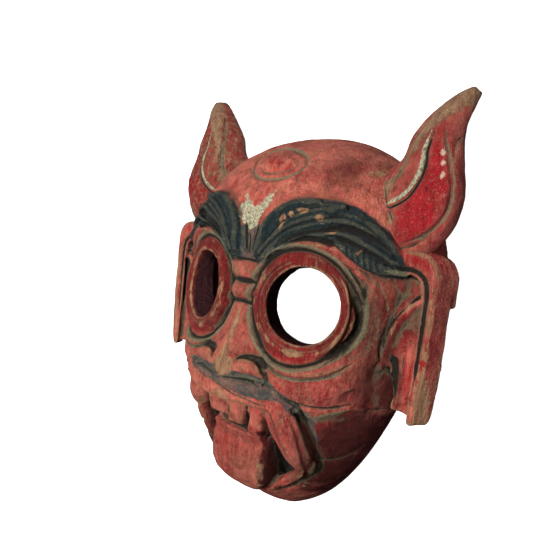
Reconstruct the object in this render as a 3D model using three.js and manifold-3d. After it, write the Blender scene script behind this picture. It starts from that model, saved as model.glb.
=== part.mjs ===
// A carved wooden festival mask: a horned demon with ring eyes, flame brows, bared teeth and a
// hanging tongue. The face and its long ears are one hollow block. Each horn is a separate piece,
// fitted to the crown. Millimetres: +X to the viewer's right, +Y to the crown, +Z out of the face.
// The mask lies face up, with its back rim in the plane Z = 0.
import * as THREE from 'three';
import { mergeVertices } from 'three/addons/utils/BufferGeometryUtils.js';
import Module from 'manifold-3d';

const wasm = await Module();
wasm.setup();

// Driving sizes of the head. Heights are measured from the line of the eyes.
const TEMPLE_Y = 20;
const TEMPLE_HALF_WIDTH = 118;
const CROWN_RISE = 108;
const CHIN_DROP = 203;
const FACE_DEPTH = 89;
const WALL = 14;
const FRONT_WALL = 17;
const MOUTH_WALL = 5;
const HEAD_GRID = { rows: 30, steps: 30 };
const HOLLOW_GRID = { rows: 20, steps: 22 };

// Driving sizes of the eyes.
const EYE_X = 52;
const EYE_Z = 82.9;
const EYE_RADIUS = 27.6;
const RING_RADIUS = 38.5;
const EYE_YAW = THREE.MathUtils.degToRad(19.5);
const EYE_PITCH = THREE.MathUtils.degToRad(5.3);
const BORE_DEPTH = 62;
const EYE_SIDES = 26;

// Driving sizes of the ears and horns.
const EAR_BACK_Z = 34;
const EAR_PANEL_THICKNESS = 7;
const EAR_RAIL_THICKNESS = 13;
const EAR_STEP_DEPTH = 6;
const EAR_LEAN = 0.045;
const HORN_TOP_Y = 161.5;
const HORN_BACK_TILT = 0.22;
const JOINT_GAP = 0.3;

// The frame's origin is the middle of the mask's length.
const FRAME_SHIFT_Y = -(HORN_TOP_Y + TEMPLE_Y - CHIN_DROP) / 2;

// Materials, one for each kind of piece.
const paintedWood = new THREE.MeshStandardMaterial({ color: 0xa9483c, roughness: 0.75, metalness: 0 });
const hornWood = new THREE.MeshStandardMaterial({ color: 0xb03a30, roughness: 0.72, metalness: 0 });

// ---- Solids ----

/** Turns a closed geometry into a solid, with its faces pointing outward. */
function solidOf(geometry) {
  const bare = geometry.clone();
  bare.deleteAttribute('normal');
  bare.deleteAttribute('uv');
  const merged = mergeVertices(bare, 1e-4);
  const vertProperties = new Float32Array(merged.attributes.position.array);
  const triVerts = new Uint32Array(merged.index.array);
  if (signedVolume(vertProperties, triVerts) < 0) {
    for (let i = 0; i < triVerts.length; i += 3) {
      [triVerts[i + 1], triVerts[i + 2]] = [triVerts[i + 2], triVerts[i + 1]];
    }
  }
  return new wasm.Manifold(new wasm.Mesh({ numProp: 3, vertProperties, triVerts }));
}

/** Six times the enclosed volume, negative when the faces point inward. */
function signedVolume(vertices, triangles) {
  const [a, b, c] = [new THREE.Vector3(), new THREE.Vector3(), new THREE.Vector3()];
  let total = 0;
  for (let i = 0; i < triangles.length; i += 3) {
    a.fromArray(vertices, 3 * triangles[i]);
    b.fromArray(vertices, 3 * triangles[i + 1]);
    c.fromArray(vertices, 3 * triangles[i + 2]);
    total += a.dot(b.cross(c));
  }
  return total;
}

/** Turns a solid back into a three.js geometry. */
function geometryOf(solid) {
  const mesh = solid.getMesh();
  const geometry = new THREE.BufferGeometry();
  geometry.setAttribute('position', new THREE.BufferAttribute(mesh.vertProperties, 3));
  geometry.setIndex(new THREE.BufferAttribute(mesh.triVerts, 1));
  geometry.computeVertexNormals();
  return geometry;
}

/** Joins any number of geometries into one solid. */
function join(geometries) {
  return geometries.map(solidOf).reduce((sum, next) => sum.add(next));
}

/** A closed solid through rings of equal length, with a fan of triangles over each end. */
function loft(rings) {
  const size = rings[0].length;
  const positions = rings.flat().flatMap((point) => point.toArray());
  const index = [];
  for (let r = 0; r + 1 < rings.length; r += 1) {
    for (let i = 0; i < size; i += 1) {
      const j = (i + 1) % size;
      const [low, high] = [r * size, (r + 1) * size];
      index.push(low + i, low + j, high + j, low + i, high + j, high + i);
    }
  }
  const ends = [[0, rings[0], true], [(rings.length - 1) * size, rings.at(-1), false]];
  for (const [start, ring, flipped] of ends) {
    const centre = ring.reduce((sum, point) => sum.add(point), new THREE.Vector3());
    positions.push(...centre.divideScalar(size).toArray());
    const hub = positions.length / 3 - 1;
    for (let i = 0; i < size; i += 1) {
      const j = (i + 1) % size;
      index.push(...(flipped ? [hub, start + j, start + i] : [hub, start + i, start + j]));
    }
  }
  const geometry = new THREE.BufferGeometry();
  geometry.setAttribute('position', new THREE.Float32BufferAttribute(positions, 3));
  geometry.setIndex(index);
  return geometry;
}

/** The mirror image of a geometry in the plane X = 0. */
function mirrored(geometry) {
  return geometry.clone().scale(-1, 1, 1);
}

/** A geometry and its mirror image. */
function bothSides(geometry) {
  return [geometry, mirrored(geometry)];
}

// ---- The face's surface ----

/** A smooth rise of the surface around (x, y), the same on both sides of the face. */
function swelling(x, y, { at, reach, height }) {
  const across = (Math.abs(x) - at[0]) / reach[0];
  const along = (y - at[1]) / reach[1];
  return height * Math.exp(-(across ** 2 + along ** 2));
}

const MUZZLE = { at: [0, -72], reach: [46, 34], height: 14 };
const CHEEK = { at: [66, -52], reach: [30, 26], height: 12 };

/** Half width at the rim and depth on the midline of the head's cross-section at height y. */
function headSection(y, inset = 0) {
  const upward = y >= TEMPLE_Y;
  const span = (upward ? CROWN_RISE : CHIN_DROP) - inset;
  const t = Math.min(Math.abs(y - TEMPLE_Y) / span, 1);
  const halfWidth = (TEMPLE_HALF_WIDTH - inset)
    * (upward ? (1 - t ** 2.1) ** (1 / 2.1) : (1 - t ** 1.3) ** (1 / 1.9));
  const depth = (FACE_DEPTH - (inset > 0 ? FRONT_WALL : inset))
    * (upward ? (1 - t ** 2.8) ** (1 / 1.7) : (1 - t ** 3.2) ** (1 / 2));
  return { halfWidth, depth };
}

/** Height of the face's surface over the rim plane at (x, y). */
function faceHeight(x, y) {
  const { halfWidth, depth } = headSection(y);
  const across = Math.min(Math.abs(x) / halfWidth, 1);
  const swell = swelling(x, y, MUZZLE) + swelling(x, y, CHEEK);
  return depth * (1 - across ** 2.4) ** (1 / 2.1) + swell;
}

/** The head as a solid, inset from its outer surface and running down to the height of floor. */
function headGeometry({ inset = 0, floor = 0, grid = HEAD_GRID } = {}) {
  const rings = [];
  const fullness = inset > 0 ? 0 : 1;
  for (let row = 0; row < grid.rows; row += 1) {
    const turn = Math.PI * ((row + 0.35) / (grid.rows - 0.3) - 0.5);
    const span = (turn >= 0 ? CROWN_RISE : CHIN_DROP) - inset;
    const y = TEMPLE_Y + span * Math.sin(turn);
    const { halfWidth, depth } = headSection(y, inset);
    const ring = [];
    for (let step = 0; step <= grid.steps; step += 1) {
      const angle = Math.PI * (step / grid.steps);
      const side = Math.sign(Math.cos(angle)) * Math.abs(Math.cos(angle)) ** (1 / 1.2);
      const rise = Math.max(Math.sin(angle), 0);
      const x = halfWidth * side;
      const swell = fullness * (swelling(x, y, MUZZLE) + swelling(x, y, CHEEK));
      ring.push(new THREE.Vector3(x, y, depth * rise ** (1 / 1.05) + swell * Math.min(1, 2 * rise)));
    }
    if (floor < 0) {
      ring.push(new THREE.Vector3(-halfWidth, y, floor), new THREE.Vector3(halfWidth, y, floor));
    }
    rings.push(ring);
  }
  return loft(rings);
}

/** A rounded bar along a curve: stations are [x, y, z, half width across the face, half depth]. */
function bar(stations, steps = 10, sides = 8) {
  const curve = new THREE.CatmullRomCurve3(stations.map(([x, y, z]) => new THREE.Vector3(x, y, z)));
  const sizes = new THREE.CatmullRomCurve3(stations.map(([, , , w, d]) => new THREE.Vector3(w, d, 0)));
  const rings = [];
  for (let step = 0; step <= steps; step += 1) {
    const t = step / steps;
    const centre = curve.getPoint(t);
    const heading = curve.getTangent(t);
    const across = new THREE.Vector3(heading.y, -heading.x, 0).normalize();
    const outward = new THREE.Vector3().crossVectors(heading, across).normalize();
    const size = sizes.getPoint(t);
    const ring = [];
    for (let side = 0; side < sides; side += 1) {
      const angle = (2 * Math.PI * (side + 0.5)) / sides;
      ring.push(centre.clone()
        .addScaledVector(across, size.x * Math.cos(angle))
        .addScaledVector(outward, size.y * Math.sin(angle)));
    }
    rings.push(ring);
  }
  return loft(rings);
}

/** A rounded bar lying on the face: stations are [x, y, half width], raised by rise. */
function ridge(stations, rise, halfDepth, steps = 9) {
  const placed = stations.map(([x, y, w]) => [x, y, faceHeight(x, y) + rise - halfDepth, w, halfDepth]);
  return bar(placed, steps, 6);
}

/** A plate or cut: a shape in X and Y, from height low to high, drawn in toward X = 0 by lean. */
function plate(shape, low, high, lean = 0) {
  const options = { depth: high - low, bevelEnabled: false, curveSegments: 5 };
  const geometry = new THREE.ExtrudeGeometry(shape, options);
  const position = geometry.attributes.position;
  for (let i = 0; i < position.count; i += 1) {
    position.setX(i, position.getX(i) * (1 - (lean * position.getZ(i)) / (high - low)));
  }
  return geometry.translate(0, 0, low);
}

// ---- The eyes ----

/** Moves a geometry made around the origin, with its axis along Z, to the right-hand eye. */
function atEye(geometry) {
  return geometry
    .applyMatrix4(new THREE.Matrix4().makeRotationX(-EYE_PITCH))
    .applyMatrix4(new THREE.Matrix4().makeRotationY(EYE_YAW))
    .translate(EYE_X, 0, EYE_Z);
}

/** The raised ring around an eye hole, turned as a rounded collar. */
function eyeRing() {
  const inner = EYE_RADIUS - 3;
  const profile = [
    [inner, -26], [inner, -3], [EYE_RADIUS, -0.5], [RING_RADIUS - 7, 2], [RING_RADIUS - 3, 1.4],
    [RING_RADIUS - 0.5, -1.5], [RING_RADIUS, -6], [RING_RADIUS + 1, -26], [inner, -26],
  ].map(([radius, height]) => new THREE.Vector2(radius, height));
  return atEye(new THREE.LatheGeometry(profile, EYE_SIDES).rotateX(Math.PI / 2));
}

/** The hole that the wearer looks through. */
function eyeBore() {
  const bore = new THREE.CylinderGeometry(EYE_RADIUS, EYE_RADIUS - 2, BORE_DEPTH, EYE_SIDES);
  return atEye(bore.rotateX(Math.PI / 2).translate(0, 0, 4 - BORE_DEPTH / 2));
}

/** The fold of the upper lid, a ridge that arches over the ring and down its outer side. */
function lidFold() {
  const stations = [];
  for (let degrees = 155; degrees >= -35; degrees -= 19) {
    const angle = THREE.MathUtils.degToRad(degrees);
    const reach = Math.cos(angle) > 0 ? 41 : 46;
    stations.push([EYE_X + reach * Math.cos(angle), 46 * Math.sin(angle), 3.5]);
  }
  return ridge(stations, 3, 6, 14);
}

// ---- Brows, nose and third eye ----

/** The two flame strands of a brow, from the bridge of the nose to the temple. */
function brow() {
  const upper = [[10, 32, 4], [15, 50, 5], [27, 63, 6], [45, 70, 6], [64, 68, 6], [84, 60, 6], [99, 47, 5]];
  const lower = [[13, 28, 3], [22, 43, 5], [35, 53, 6], [52, 57, 6], [70, 53, 7], [88, 41, 7], [103, 34, 5]];
  return [ridge(upper, 7, 10), ridge(lower, 5, 9)];
}

/** The nose: a flat-topped wedge that widens from the bridge to its tip. */
function nose() {
  const stations = [
    { y: 30, top: 4, base: 8, height: 89 }, { y: -6, top: 4, base: 12, height: 91 },
    { y: -30, top: 6, base: 21, height: 98 }, { y: -50, top: 9, base: 25, height: 105 },
    { y: -57, top: 8, base: 22, height: 107 }, { y: -60, top: 6, base: 18, height: 100 },
  ];
  const buried = 66;
  return loft(stations.map(({ y, top, base, height }) => [
    [-base, buried], [base, buried], [base, faceHeight(base, y)],
    [top, height], [-top, height], [-base, faceHeight(base, y)],
  ].map(([x, z]) => new THREE.Vector3(x, y, z))));
}

/** The two wrinkles across the bridge of the nose. */
function bridgeFolds() {
  return [19, 3].map((y) => bar([[-12, y, 84, 6, 6], [0, y, 87, 6, 6], [12, y, 84, 6, 6]], 4));
}

/** A flared side of the nose. */
function nostril() {
  return new THREE.SphereGeometry(1, 14, 10).scale(12, 10, 13).translate(25, -50, 87);
}

/** The third eye, an oval boss on the forehead. */
function thirdEye() {
  const tilt = Math.atan2(faceHeight(0, 87) - faceHeight(0, 116), 29);
  return new THREE.SphereGeometry(1, 18, 10).scale(23, 17, 7).rotateX(-tilt)
    .translate(0, 101, faceHeight(0, 101) - 3);
}

// ---- Mouth ----

/** The thick upper lip, which folds down at both corners of the mouth. */
function upperLip() {
  const side = [[14, -67, 99, 8, 9], [36, -68, 91, 8, 9], [53, -70, 80, 8, 8]];
  const left = side.map(([x, ...rest]) => [-x, ...rest]).reverse();
  return bar([...left, [0, -67, 101, 8, 9], ...side], 16);
}

/** The heavy fold at a corner of the mouth, hanging like a tusk beside the teeth. */
function lipCorner() {
  return bar([[41, -72, 85, 10, 8], [44, -90, 79, 12, 9], [47, -108, 70, 11, 9], [48, -122, 62, 7, 8]], 7);
}

/** Half of the lower lip, which ends in a curl against the tongue. */
function lowerLip() {
  return bar([[49, -116, 60, 6, 8], [51, -132, 51, 7, 9], [43, -145, 46, 7, 9],
    [31, -149, 49, 7, 9], [22, -149, 55, 5, 6]], 7);
}

/** A front tooth, tapered to its biting edge. */
function tooth(x, halfWidth, length, front) {
  const lipLine = -70;
  const root = 66;
  return loft([[lipLine, halfWidth + 1, front], [lipLine - length, halfWidth - 1, front - 9]]
    .map(([y, half, z]) => [[x - half, root], [x + half, root], [x + half, z], [x - half, z]]
      .map(([px, pz]) => new THREE.Vector3(px, y, pz))));
}

/** The three front teeth. */
function teeth() {
  return [tooth(0, 11, 27, 97), ...bothSides(tooth(20.5, 7, 25, 93))];
}

/** The broad tongue, a thick slab with rounded edges that hangs over the chin. */
function tongue() {
  const stations = [
    { y: -88, half: 27, top: 74 }, { y: -104, half: 30, top: 77 }, { y: -128, half: 31.5, top: 80 },
    { y: -143, half: 29, top: 77 }, { y: -153, half: 21, top: 71 }, { y: -158, half: 12, top: 64 },
  ];
  const [buried, edge] = [40, 4];
  return loft(stations.map(({ y, half, top }) => [
    [-half, buried], [half, buried], [half, top - edge],
    [half - edge, top], [edge - half, top], [-half, top - edge],
  ].map(([x, z]) => new THREE.Vector3(x, y, z))));
}

/** The recess behind the teeth. */
function mouthRecess() {
  const shape = new THREE.Shape();
  shape.moveTo(-34, -74).lineTo(34, -74).lineTo(36, -106).lineTo(-36, -106).closePath();
  return plate(shape, 66, 130);
}

/** The opening between the tongue and a corner of the mouth. */
function mouthOpening() {
  const shape = new THREE.Shape();
  shape.moveTo(26, -100).lineTo(40, -100).lineTo(47, -118).lineTo(43, -133).lineTo(26, -143).closePath();
  return plate(shape, 10, 130);
}

// ---- Ears ----

/** An ear: a flat panel, a raised rail along its outer edge and the thicker arch of the helix. */
function ear() {
  const panel = new THREE.Shape();
  panel.moveTo(90, 40).lineTo(122, 42).lineTo(132, 28).lineTo(132, -62)
    .lineTo(105, -64).lineTo(100, -26).lineTo(94, -8).lineTo(84, -2).closePath();
  const rail = new THREE.Shape();
  rail.moveTo(100, 45).lineTo(122, 47);
  rail.quadraticCurveTo(139, 45, 138, 26);
  rail.lineTo(138, -58);
  rail.quadraticCurveTo(138, -70, 131, -70);
  rail.quadraticCurveTo(125, -70, 125, -60);
  rail.lineTo(127, 18);
  rail.quadraticCurveTo(124, 33, 100, 34);
  rail.closePath();
  const helix = new THREE.Shape();
  helix.moveTo(100, 44).lineTo(122, 46).quadraticCurveTo(140, 44, 140, 26);
  helix.lineTo(140, 12).lineTo(128, 12).lineTo(100, 34).closePath();
  const front = EAR_BACK_Z + EAR_RAIL_THICKNESS;
  return [
    plate(panel, EAR_BACK_Z, EAR_BACK_Z + EAR_PANEL_THICKNESS),
    plate(rail, EAR_BACK_Z, front, EAR_LEAN),
    plate(helix, EAR_BACK_Z - EAR_STEP_DEPTH, front - 2, EAR_LEAN),
  ];
}

/** An ear made larger all round by the gap of a joint. */
function earClearance() {
  const middle = new THREE.Vector3(115, -12, 38);
  const halfSize = new THREE.Vector3(25, 59, 9);
  const grow = halfSize.clone().addScalar(JOINT_GAP).divide(halfSize);
  return ear().map((piece) => piece.translate(-middle.x, -middle.y, -middle.z)
    .scale(grow.x, grow.y, grow.z).translate(middle.x, middle.y, middle.z));
}

// ---- Horns ----

/** A horn's cross-section: across from its inner edge to its outer one, and up from back to front. */
const HORN_SECTION = [
  [-0.85, 0.02], [-0.3, -0.02], [0.3, -0.03], [0.85, 0], [0.98, 0.1], [1, 0.34], [0.92, 0.66],
  [0.72, 0.9], [0.4, 1], [0, 0.98], [-0.4, 0.86], [-0.72, 0.63], [-0.92, 0.38], [-1, 0.16],
];

/** A horn, leaf shaped and leaning back to its tip, with grow added all round. */
function horn(grow = 0) {
  const stations = [
    { inner: [60, 92], outer: [104, 34], back: 22, front: 49 },
    { inner: [72, 104], outer: [116, 44], back: 21, front: 50 },
    { inner: [79, 108], outer: [123.5, 51], back: 21, front: 50 },
    { inner: [84, 116], outer: [132, 66], back: 21, front: 49 },
    { inner: [86.5, 126], outer: [135.5, 85], back: 21, front: 46 },
    { inner: [92, 134], outer: [132, 105], back: 21, front: 42 },
    { inner: [99, 142], outer: [128.5, 122], back: 20, front: 38 },
    { inner: [107, 150], outer: [127.5, 135], back: 18, front: 33 },
    { inner: [116, 157], outer: [129.5, 147], back: 15, front: 28 },
    { inner: [124, HORN_TOP_Y], outer: [131, HORN_TOP_Y - 5], back: 12, front: 22 },
  ];
  return loft(stations.map(({ inner, outer, back, front }) => {
    const from = new THREE.Vector3(inner[0], inner[1], 0);
    const to = new THREE.Vector3(outer[0], outer[1], 0);
    const centre = from.clone().add(to).divideScalar(2);
    const reach = to.clone().sub(centre);
    reach.setLength(reach.length() + grow);
    return HORN_SECTION.map(([across, up]) => {
      const low = back - grow + HORN_BACK_TILT * across * (front - back);
      const height = low + up * (front + grow - low);
      return centre.clone().addScaledVector(reach, across).setZ(height);
    });
  }));
}

/** The right-hand horn, cut to sit on the crown and on the top of the ear. */
function fittedHorn() {
  return solidOf(horn())
    .subtract(solidOf(headGeometry({ inset: -JOINT_GAP, floor: -1 })))
    .subtract(join(earClearance()));
}

// ---- The mask ----

/** The face and ears: one block, hollowed from behind, with its eye holes and mouth openings. */
function maskBody() {
  const hollow = solidOf(headGeometry({ inset: WALL, floor: -4, grid: HOLLOW_GRID }));
  const mouth = join([mouthRecess(), ...bothSides(mouthOpening())])
    .subtract(hollow.translate(0, 0, MOUTH_WALL));
  const browsClearOfHorns = join([...brow(), ...brow().map(mirrored)])
    .subtract(join(bothSides(horn(JOINT_GAP))));
  const features = join([
    ...bothSides(eyeRing()), ...bothSides(lidFold()), nose(), ...bridgeFolds(), ...bothSides(nostril()),
    thirdEye(), upperLip(), ...bothSides(lipCorner()), ...bothSides(lowerLip()), ...teeth(), tongue(),
    ...ear(), ...ear().map(mirrored),
  ]);
  return solidOf(headGeometry())
    .subtract(mouth)
    .add(features)
    .add(browsClearOfHorns)
    .subtract(hollow)
    .subtract(join(bothSides(eyeBore())));
}

/** A named mesh of a solid. */
function piece(name, solid, material) {
  const mesh = new THREE.Mesh(geometryOf(solid), material);
  mesh.name = name;
  return mesh;
}

const group = new THREE.Group();
const rightHorn = fittedHorn();
const leftHorn = rightHorn.mirror([1, 0, 0]);
group.add(piece('mask_body', maskBody(), paintedWood));
group.add(piece('left_horn', leftHorn, hornWood));
group.add(piece('right_horn', rightHorn, hornWood));
group.position.y = FRAME_SHIFT_Y;

export default group;
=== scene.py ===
"""A carved wooden festival mask of a horned demon, lying face up on a studio floor.

The face is shaped in carver's millimetres, measured from the line of the eyes: X to the viewer's
right, Y to the crown, Z out of the face. Each piece is then placed in the frame, in metres.
"""
import logging
import math
from dataclasses import dataclass
from enum import Enum

import bmesh
import bpy
import numpy as np
from mathutils import Matrix, Vector


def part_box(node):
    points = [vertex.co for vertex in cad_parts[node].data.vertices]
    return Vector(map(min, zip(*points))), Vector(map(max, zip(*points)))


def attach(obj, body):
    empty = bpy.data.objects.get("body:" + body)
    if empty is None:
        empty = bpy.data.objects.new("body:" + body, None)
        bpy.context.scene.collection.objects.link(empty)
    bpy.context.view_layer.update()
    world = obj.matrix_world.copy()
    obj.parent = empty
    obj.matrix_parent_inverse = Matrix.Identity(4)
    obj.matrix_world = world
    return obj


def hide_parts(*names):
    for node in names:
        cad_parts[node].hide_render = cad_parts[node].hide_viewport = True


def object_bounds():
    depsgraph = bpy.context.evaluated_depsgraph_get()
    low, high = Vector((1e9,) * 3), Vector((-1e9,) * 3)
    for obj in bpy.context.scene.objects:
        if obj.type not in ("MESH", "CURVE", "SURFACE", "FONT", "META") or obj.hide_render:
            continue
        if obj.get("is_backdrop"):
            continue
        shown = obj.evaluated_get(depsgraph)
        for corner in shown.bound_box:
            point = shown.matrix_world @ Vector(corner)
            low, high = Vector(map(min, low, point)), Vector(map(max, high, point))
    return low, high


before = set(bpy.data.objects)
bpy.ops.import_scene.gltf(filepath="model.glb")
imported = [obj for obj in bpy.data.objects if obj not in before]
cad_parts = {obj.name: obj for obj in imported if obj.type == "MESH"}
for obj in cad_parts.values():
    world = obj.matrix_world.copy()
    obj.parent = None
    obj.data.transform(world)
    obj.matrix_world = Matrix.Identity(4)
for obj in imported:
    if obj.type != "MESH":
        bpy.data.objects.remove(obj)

LOG = logging.getLogger("mask")
ROOT_BODY = "root"
# Distance in metres that the finished pieces keep inside the overall box of the solids.
TRIM = 1e-5
# Flat floor of the hollow's cutter, below the rim plane, so that it opens the back cleanly.
HOLLOW_FLOOR = -4.0
# Thickness of the wood between the openings beside the tongue and the hollow.
MOUTH_FLOOR = 5.5
# Height over the hollow's roof from which a vertex belongs to the outside.
SKIN = 3.5
# Half thickness of a brow's strands, and of the lids and the pouches.
STRAND_DEPTH = 8.0
LID_DEPTH = 6.0
# Points on a path round an eye ring, and steps round a turned shape.
RING_POINTS, TURNED_STEPS = 24, 72
# Segments and rings of the sphere that becomes the block, and of a small boss.
BLOCK_SEGMENTS, BLOCK_RINGS = 128, 96
BOSS_SEGMENTS, BOSS_RINGS = 40, 24
# Most triangles in a horn.
HORN_TRIANGLES = 70000
# Passes of relaxing that show fine and broad hollows, and the depths that values from 0 to 1 span.
FINE_PASSES, FINE_DEPTH = 6, 1.2
BROAD_PASSES, BROAD_DEPTH = 50, 5.0
WHITE = (1.0, 1.0, 1.0, 1.0)


# ---------------------------------------------------------------------------------------------
# The frame and the smooth block
# ---------------------------------------------------------------------------------------------


@dataclass(frozen=True)
class FaceFrame:
    """Carver's millimetres placed in the frame.

    Attributes:
        unit: Length in metres of one carver's millimetre.
        origin: Place in the frame of the eye line's middle, in the plane of the rim.
    """

    unit: float
    origin: tuple[float, float, float]

    @classmethod
    def from_block(cls, low: Vector, high: Vector, length: float, crown: float) -> "FaceFrame":
        """Fits the carver's millimetres to the face block's box.

        Args:
            low: Lowest corner of the block, in metres.
            high: Highest corner of the block, in metres.
            length: Length of the block from chin to crown, in carver's millimetres.
            crown: Height of the crown above the eye line, in carver's millimetres.

        Returns:
            The frame of the face.
        """
        unit = (high[1] - low[1]) / length
        return cls(unit, ((low[0] + high[0]) / 2, high[1] - crown * unit, low[2]))

    def place(self, point: tuple[float, float, float]) -> Vector:
        """Returns a point of the face, in metres in the frame."""
        return Vector(self.origin) + Vector(point) * self.unit

    def place_piece(self, piece: bpy.types.Object, finish: bpy.types.Material) -> None:
        """Turns a piece's mesh from carver's millimetres into metres, and gives it its finish."""
        piece.data.transform(Matrix.Translation(self.origin) @ Matrix.Scale(self.unit, 4))
        piece.data.materials.clear()
        piece.data.materials.append(finish)


@dataclass(frozen=True)
class HeadShape:
    """The smooth block that the face is carved from, in carver's millimetres."""

    length: float = 310.8
    crown: float = 127.9
    temple_y: float = 20.0
    half_width: float = 118.0
    crown_rise: float = 108.0
    chin_drop: float = 203.0
    depth: float = 89.0
    wall: float = 14.0
    front_wall: float = 17.0

    def section(self, y: np.ndarray, inset: float = 0.0) -> tuple[np.ndarray, np.ndarray]:
        """Gives the block's cross-section.

        Args:
            y: Heights above the eye line.
            inset: How far inside the surface the section lies.

        Returns:
            Half width at the rim and depth on the midline, at each height.
        """
        y = np.asarray(y, dtype=float)
        rise = np.clip((y - self.temple_y) / (self.crown_rise - inset), 0, 1)
        drop = np.clip((self.temple_y - y) / (self.chin_drop - inset), 0, 1)
        above = y >= self.temple_y
        half = np.where(above, (1 - rise**2.1) ** (1 / 2.1), (1 - drop**1.3) ** (1 / 1.9))
        deep = np.where(above, (1 - rise**2.8) ** (1 / 1.7), (1 - drop**3.2) ** 0.5)
        front = self.front_wall if inset > 0 else inset
        return half * (self.half_width - inset), deep * (self.depth - front)

    def swelling(self, x: np.ndarray, y: np.ndarray) -> np.ndarray:
        """Returns how far the muzzle and the cheeks stand above the plain block."""
        muzzle = 14 * np.exp(-((x / 46) ** 2 + ((y + 72) / 34) ** 2))
        cheeks = 12 * np.exp(-(((np.abs(x) - 66) / 30) ** 2 + ((y + 52) / 26) ** 2))
        return muzzle + cheeks

    def height(self, x: np.ndarray, y: np.ndarray) -> np.ndarray:
        """Returns the height of the block's surface over the rim plane."""
        x = np.asarray(x, dtype=float)
        half, deep = self.section(y)
        across = np.clip(np.abs(x) / np.maximum(half, 1e-6), 0, 1)
        return deep * (1 - across**2.4) ** (1 / 2.1) + self.swelling(x, y)

    def hollow_height(self, x: np.ndarray, y: np.ndarray) -> np.ndarray:
        """Returns the height of the hollow's roof over the rim plane, below 0 outside the hollow."""
        half, deep = self.section(y, self.wall)
        across = np.abs(x) / np.maximum(half, 1e-6)
        inside = (across < 1) & (deep > 0.5)
        roof = deep * (1 - np.clip(across, 0, 1) ** 2.4) ** (1 / 2.1)
        return np.where(inside, roof, -1.0)

    def block(self, name: str, inset: float = 0.0, floor: float = 0.0) -> bpy.types.Object:
        """Models the block, or its hollow, from a sphere.

        Args:
            name: Name of the new piece.
            inset: How far inside the block's surface this one lies.
            floor: Height of its flat underside.

        Returns:
            The piece, in carver's millimetres.
        """
        deselect_all()
        bpy.ops.mesh.primitive_uv_sphere_add(segments=BLOCK_SEGMENTS, ring_count=BLOCK_RINGS, radius=1.0)
        piece = name_active(name)
        co = read_points(piece)
        poleward, across, out = co[:, 2], co[:, 0], co[:, 1]
        span = np.where(poleward >= 0, self.crown_rise - inset, self.chin_drop - inset)
        y = self.temple_y + span * poleward
        half, deep = self.section(y, inset)
        turn = np.arctan2(out, across)
        x = half * np.sign(np.cos(turn)) * np.abs(np.cos(turn)) ** (1 / 1.2)
        rise = np.clip(np.sin(turn), 0, 1)
        full = 0.0 if inset > 0 else 1.0
        z = deep * rise ** (1 / 1.05) + full * self.swelling(x, y) * np.minimum(1, 2 * rise)
        under = out < 1e-6
        write_points(piece, np.stack([x, y, np.where(under, floor, z)], axis=1))
        recalculate_normals(piece)
        return piece


HEAD = HeadShape()


# ---------------------------------------------------------------------------------------------
# Modelling by hand: small helpers
# ---------------------------------------------------------------------------------------------


def turns(count: int) -> list[float]:
    """Returns the angles that divide a full turn into equal parts."""
    return [2 * math.pi * i / count for i in range(count)]


def deselect_all() -> None:
    """Leaves edit mode and deselects every object."""
    if bpy.context.object and bpy.context.object.mode != "OBJECT":
        bpy.ops.object.mode_set(mode="OBJECT")
    bpy.ops.object.select_all(action="DESELECT")


def name_active(name: str) -> bpy.types.Object:
    """Names the active object and its mesh, and returns it."""
    piece = bpy.context.object
    piece.name = name
    piece.data.name = name
    return piece


def activate(piece: bpy.types.Object) -> None:
    """Selects one piece alone and makes it active."""
    deselect_all()
    piece.select_set(True)
    bpy.context.view_layer.objects.active = piece


def read_points(piece: bpy.types.Object) -> np.ndarray:
    """Returns a mesh's vertices as rows of x, y, z."""
    co = np.empty(len(piece.data.vertices) * 3)
    piece.data.vertices.foreach_get("co", co)
    return co.reshape(-1, 3)


def read_normals(piece: bpy.types.Object) -> np.ndarray:
    """Returns a mesh's vertex normals as rows of x, y, z."""
    normals = np.empty(len(piece.data.vertices) * 3)
    piece.data.vertices.foreach_get("normal", normals)
    return normals.reshape(-1, 3)


def write_points(piece: bpy.types.Object, points: np.ndarray) -> None:
    """Moves a mesh's vertices to new places."""
    piece.data.vertices.foreach_set("co", np.ascontiguousarray(points, dtype=float).ravel())
    piece.data.update()


def push_out(piece: bpy.types.Object, amount: np.ndarray) -> None:
    """Moves each vertex along its normal by its amount."""
    write_points(piece, read_points(piece) + read_normals(piece) * amount[:, None])


def recalculate_normals(piece: bpy.types.Object) -> None:
    """Points all faces of a closed piece outward."""
    activate(piece)
    bpy.ops.object.mode_set(mode="EDIT")
    bpy.ops.mesh.select_all(action="SELECT")
    bpy.ops.mesh.remove_doubles(threshold=1e-4)
    bpy.ops.mesh.normals_make_consistent(inside=False)
    bpy.ops.object.mode_set(mode="OBJECT")


def join_pieces(name: str, pieces: list[bpy.types.Object]) -> bpy.types.Object:
    """Joins several pieces into one mesh and returns it."""
    deselect_all()
    for piece in pieces:
        piece.select_set(True)
    bpy.context.view_layer.objects.active = pieces[0]
    bpy.ops.object.join()
    return name_active(name)


def mirrored_copy(piece: bpy.types.Object) -> bpy.types.Object:
    """Returns a copy of a piece on the other side of the plane X = 0."""
    activate(piece)
    bpy.ops.object.duplicate()
    copy = bpy.context.object
    copy.data.transform(Matrix.Scale(-1, 4, (1, 0, 0)))
    recalculate_normals(copy)
    return copy


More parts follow.
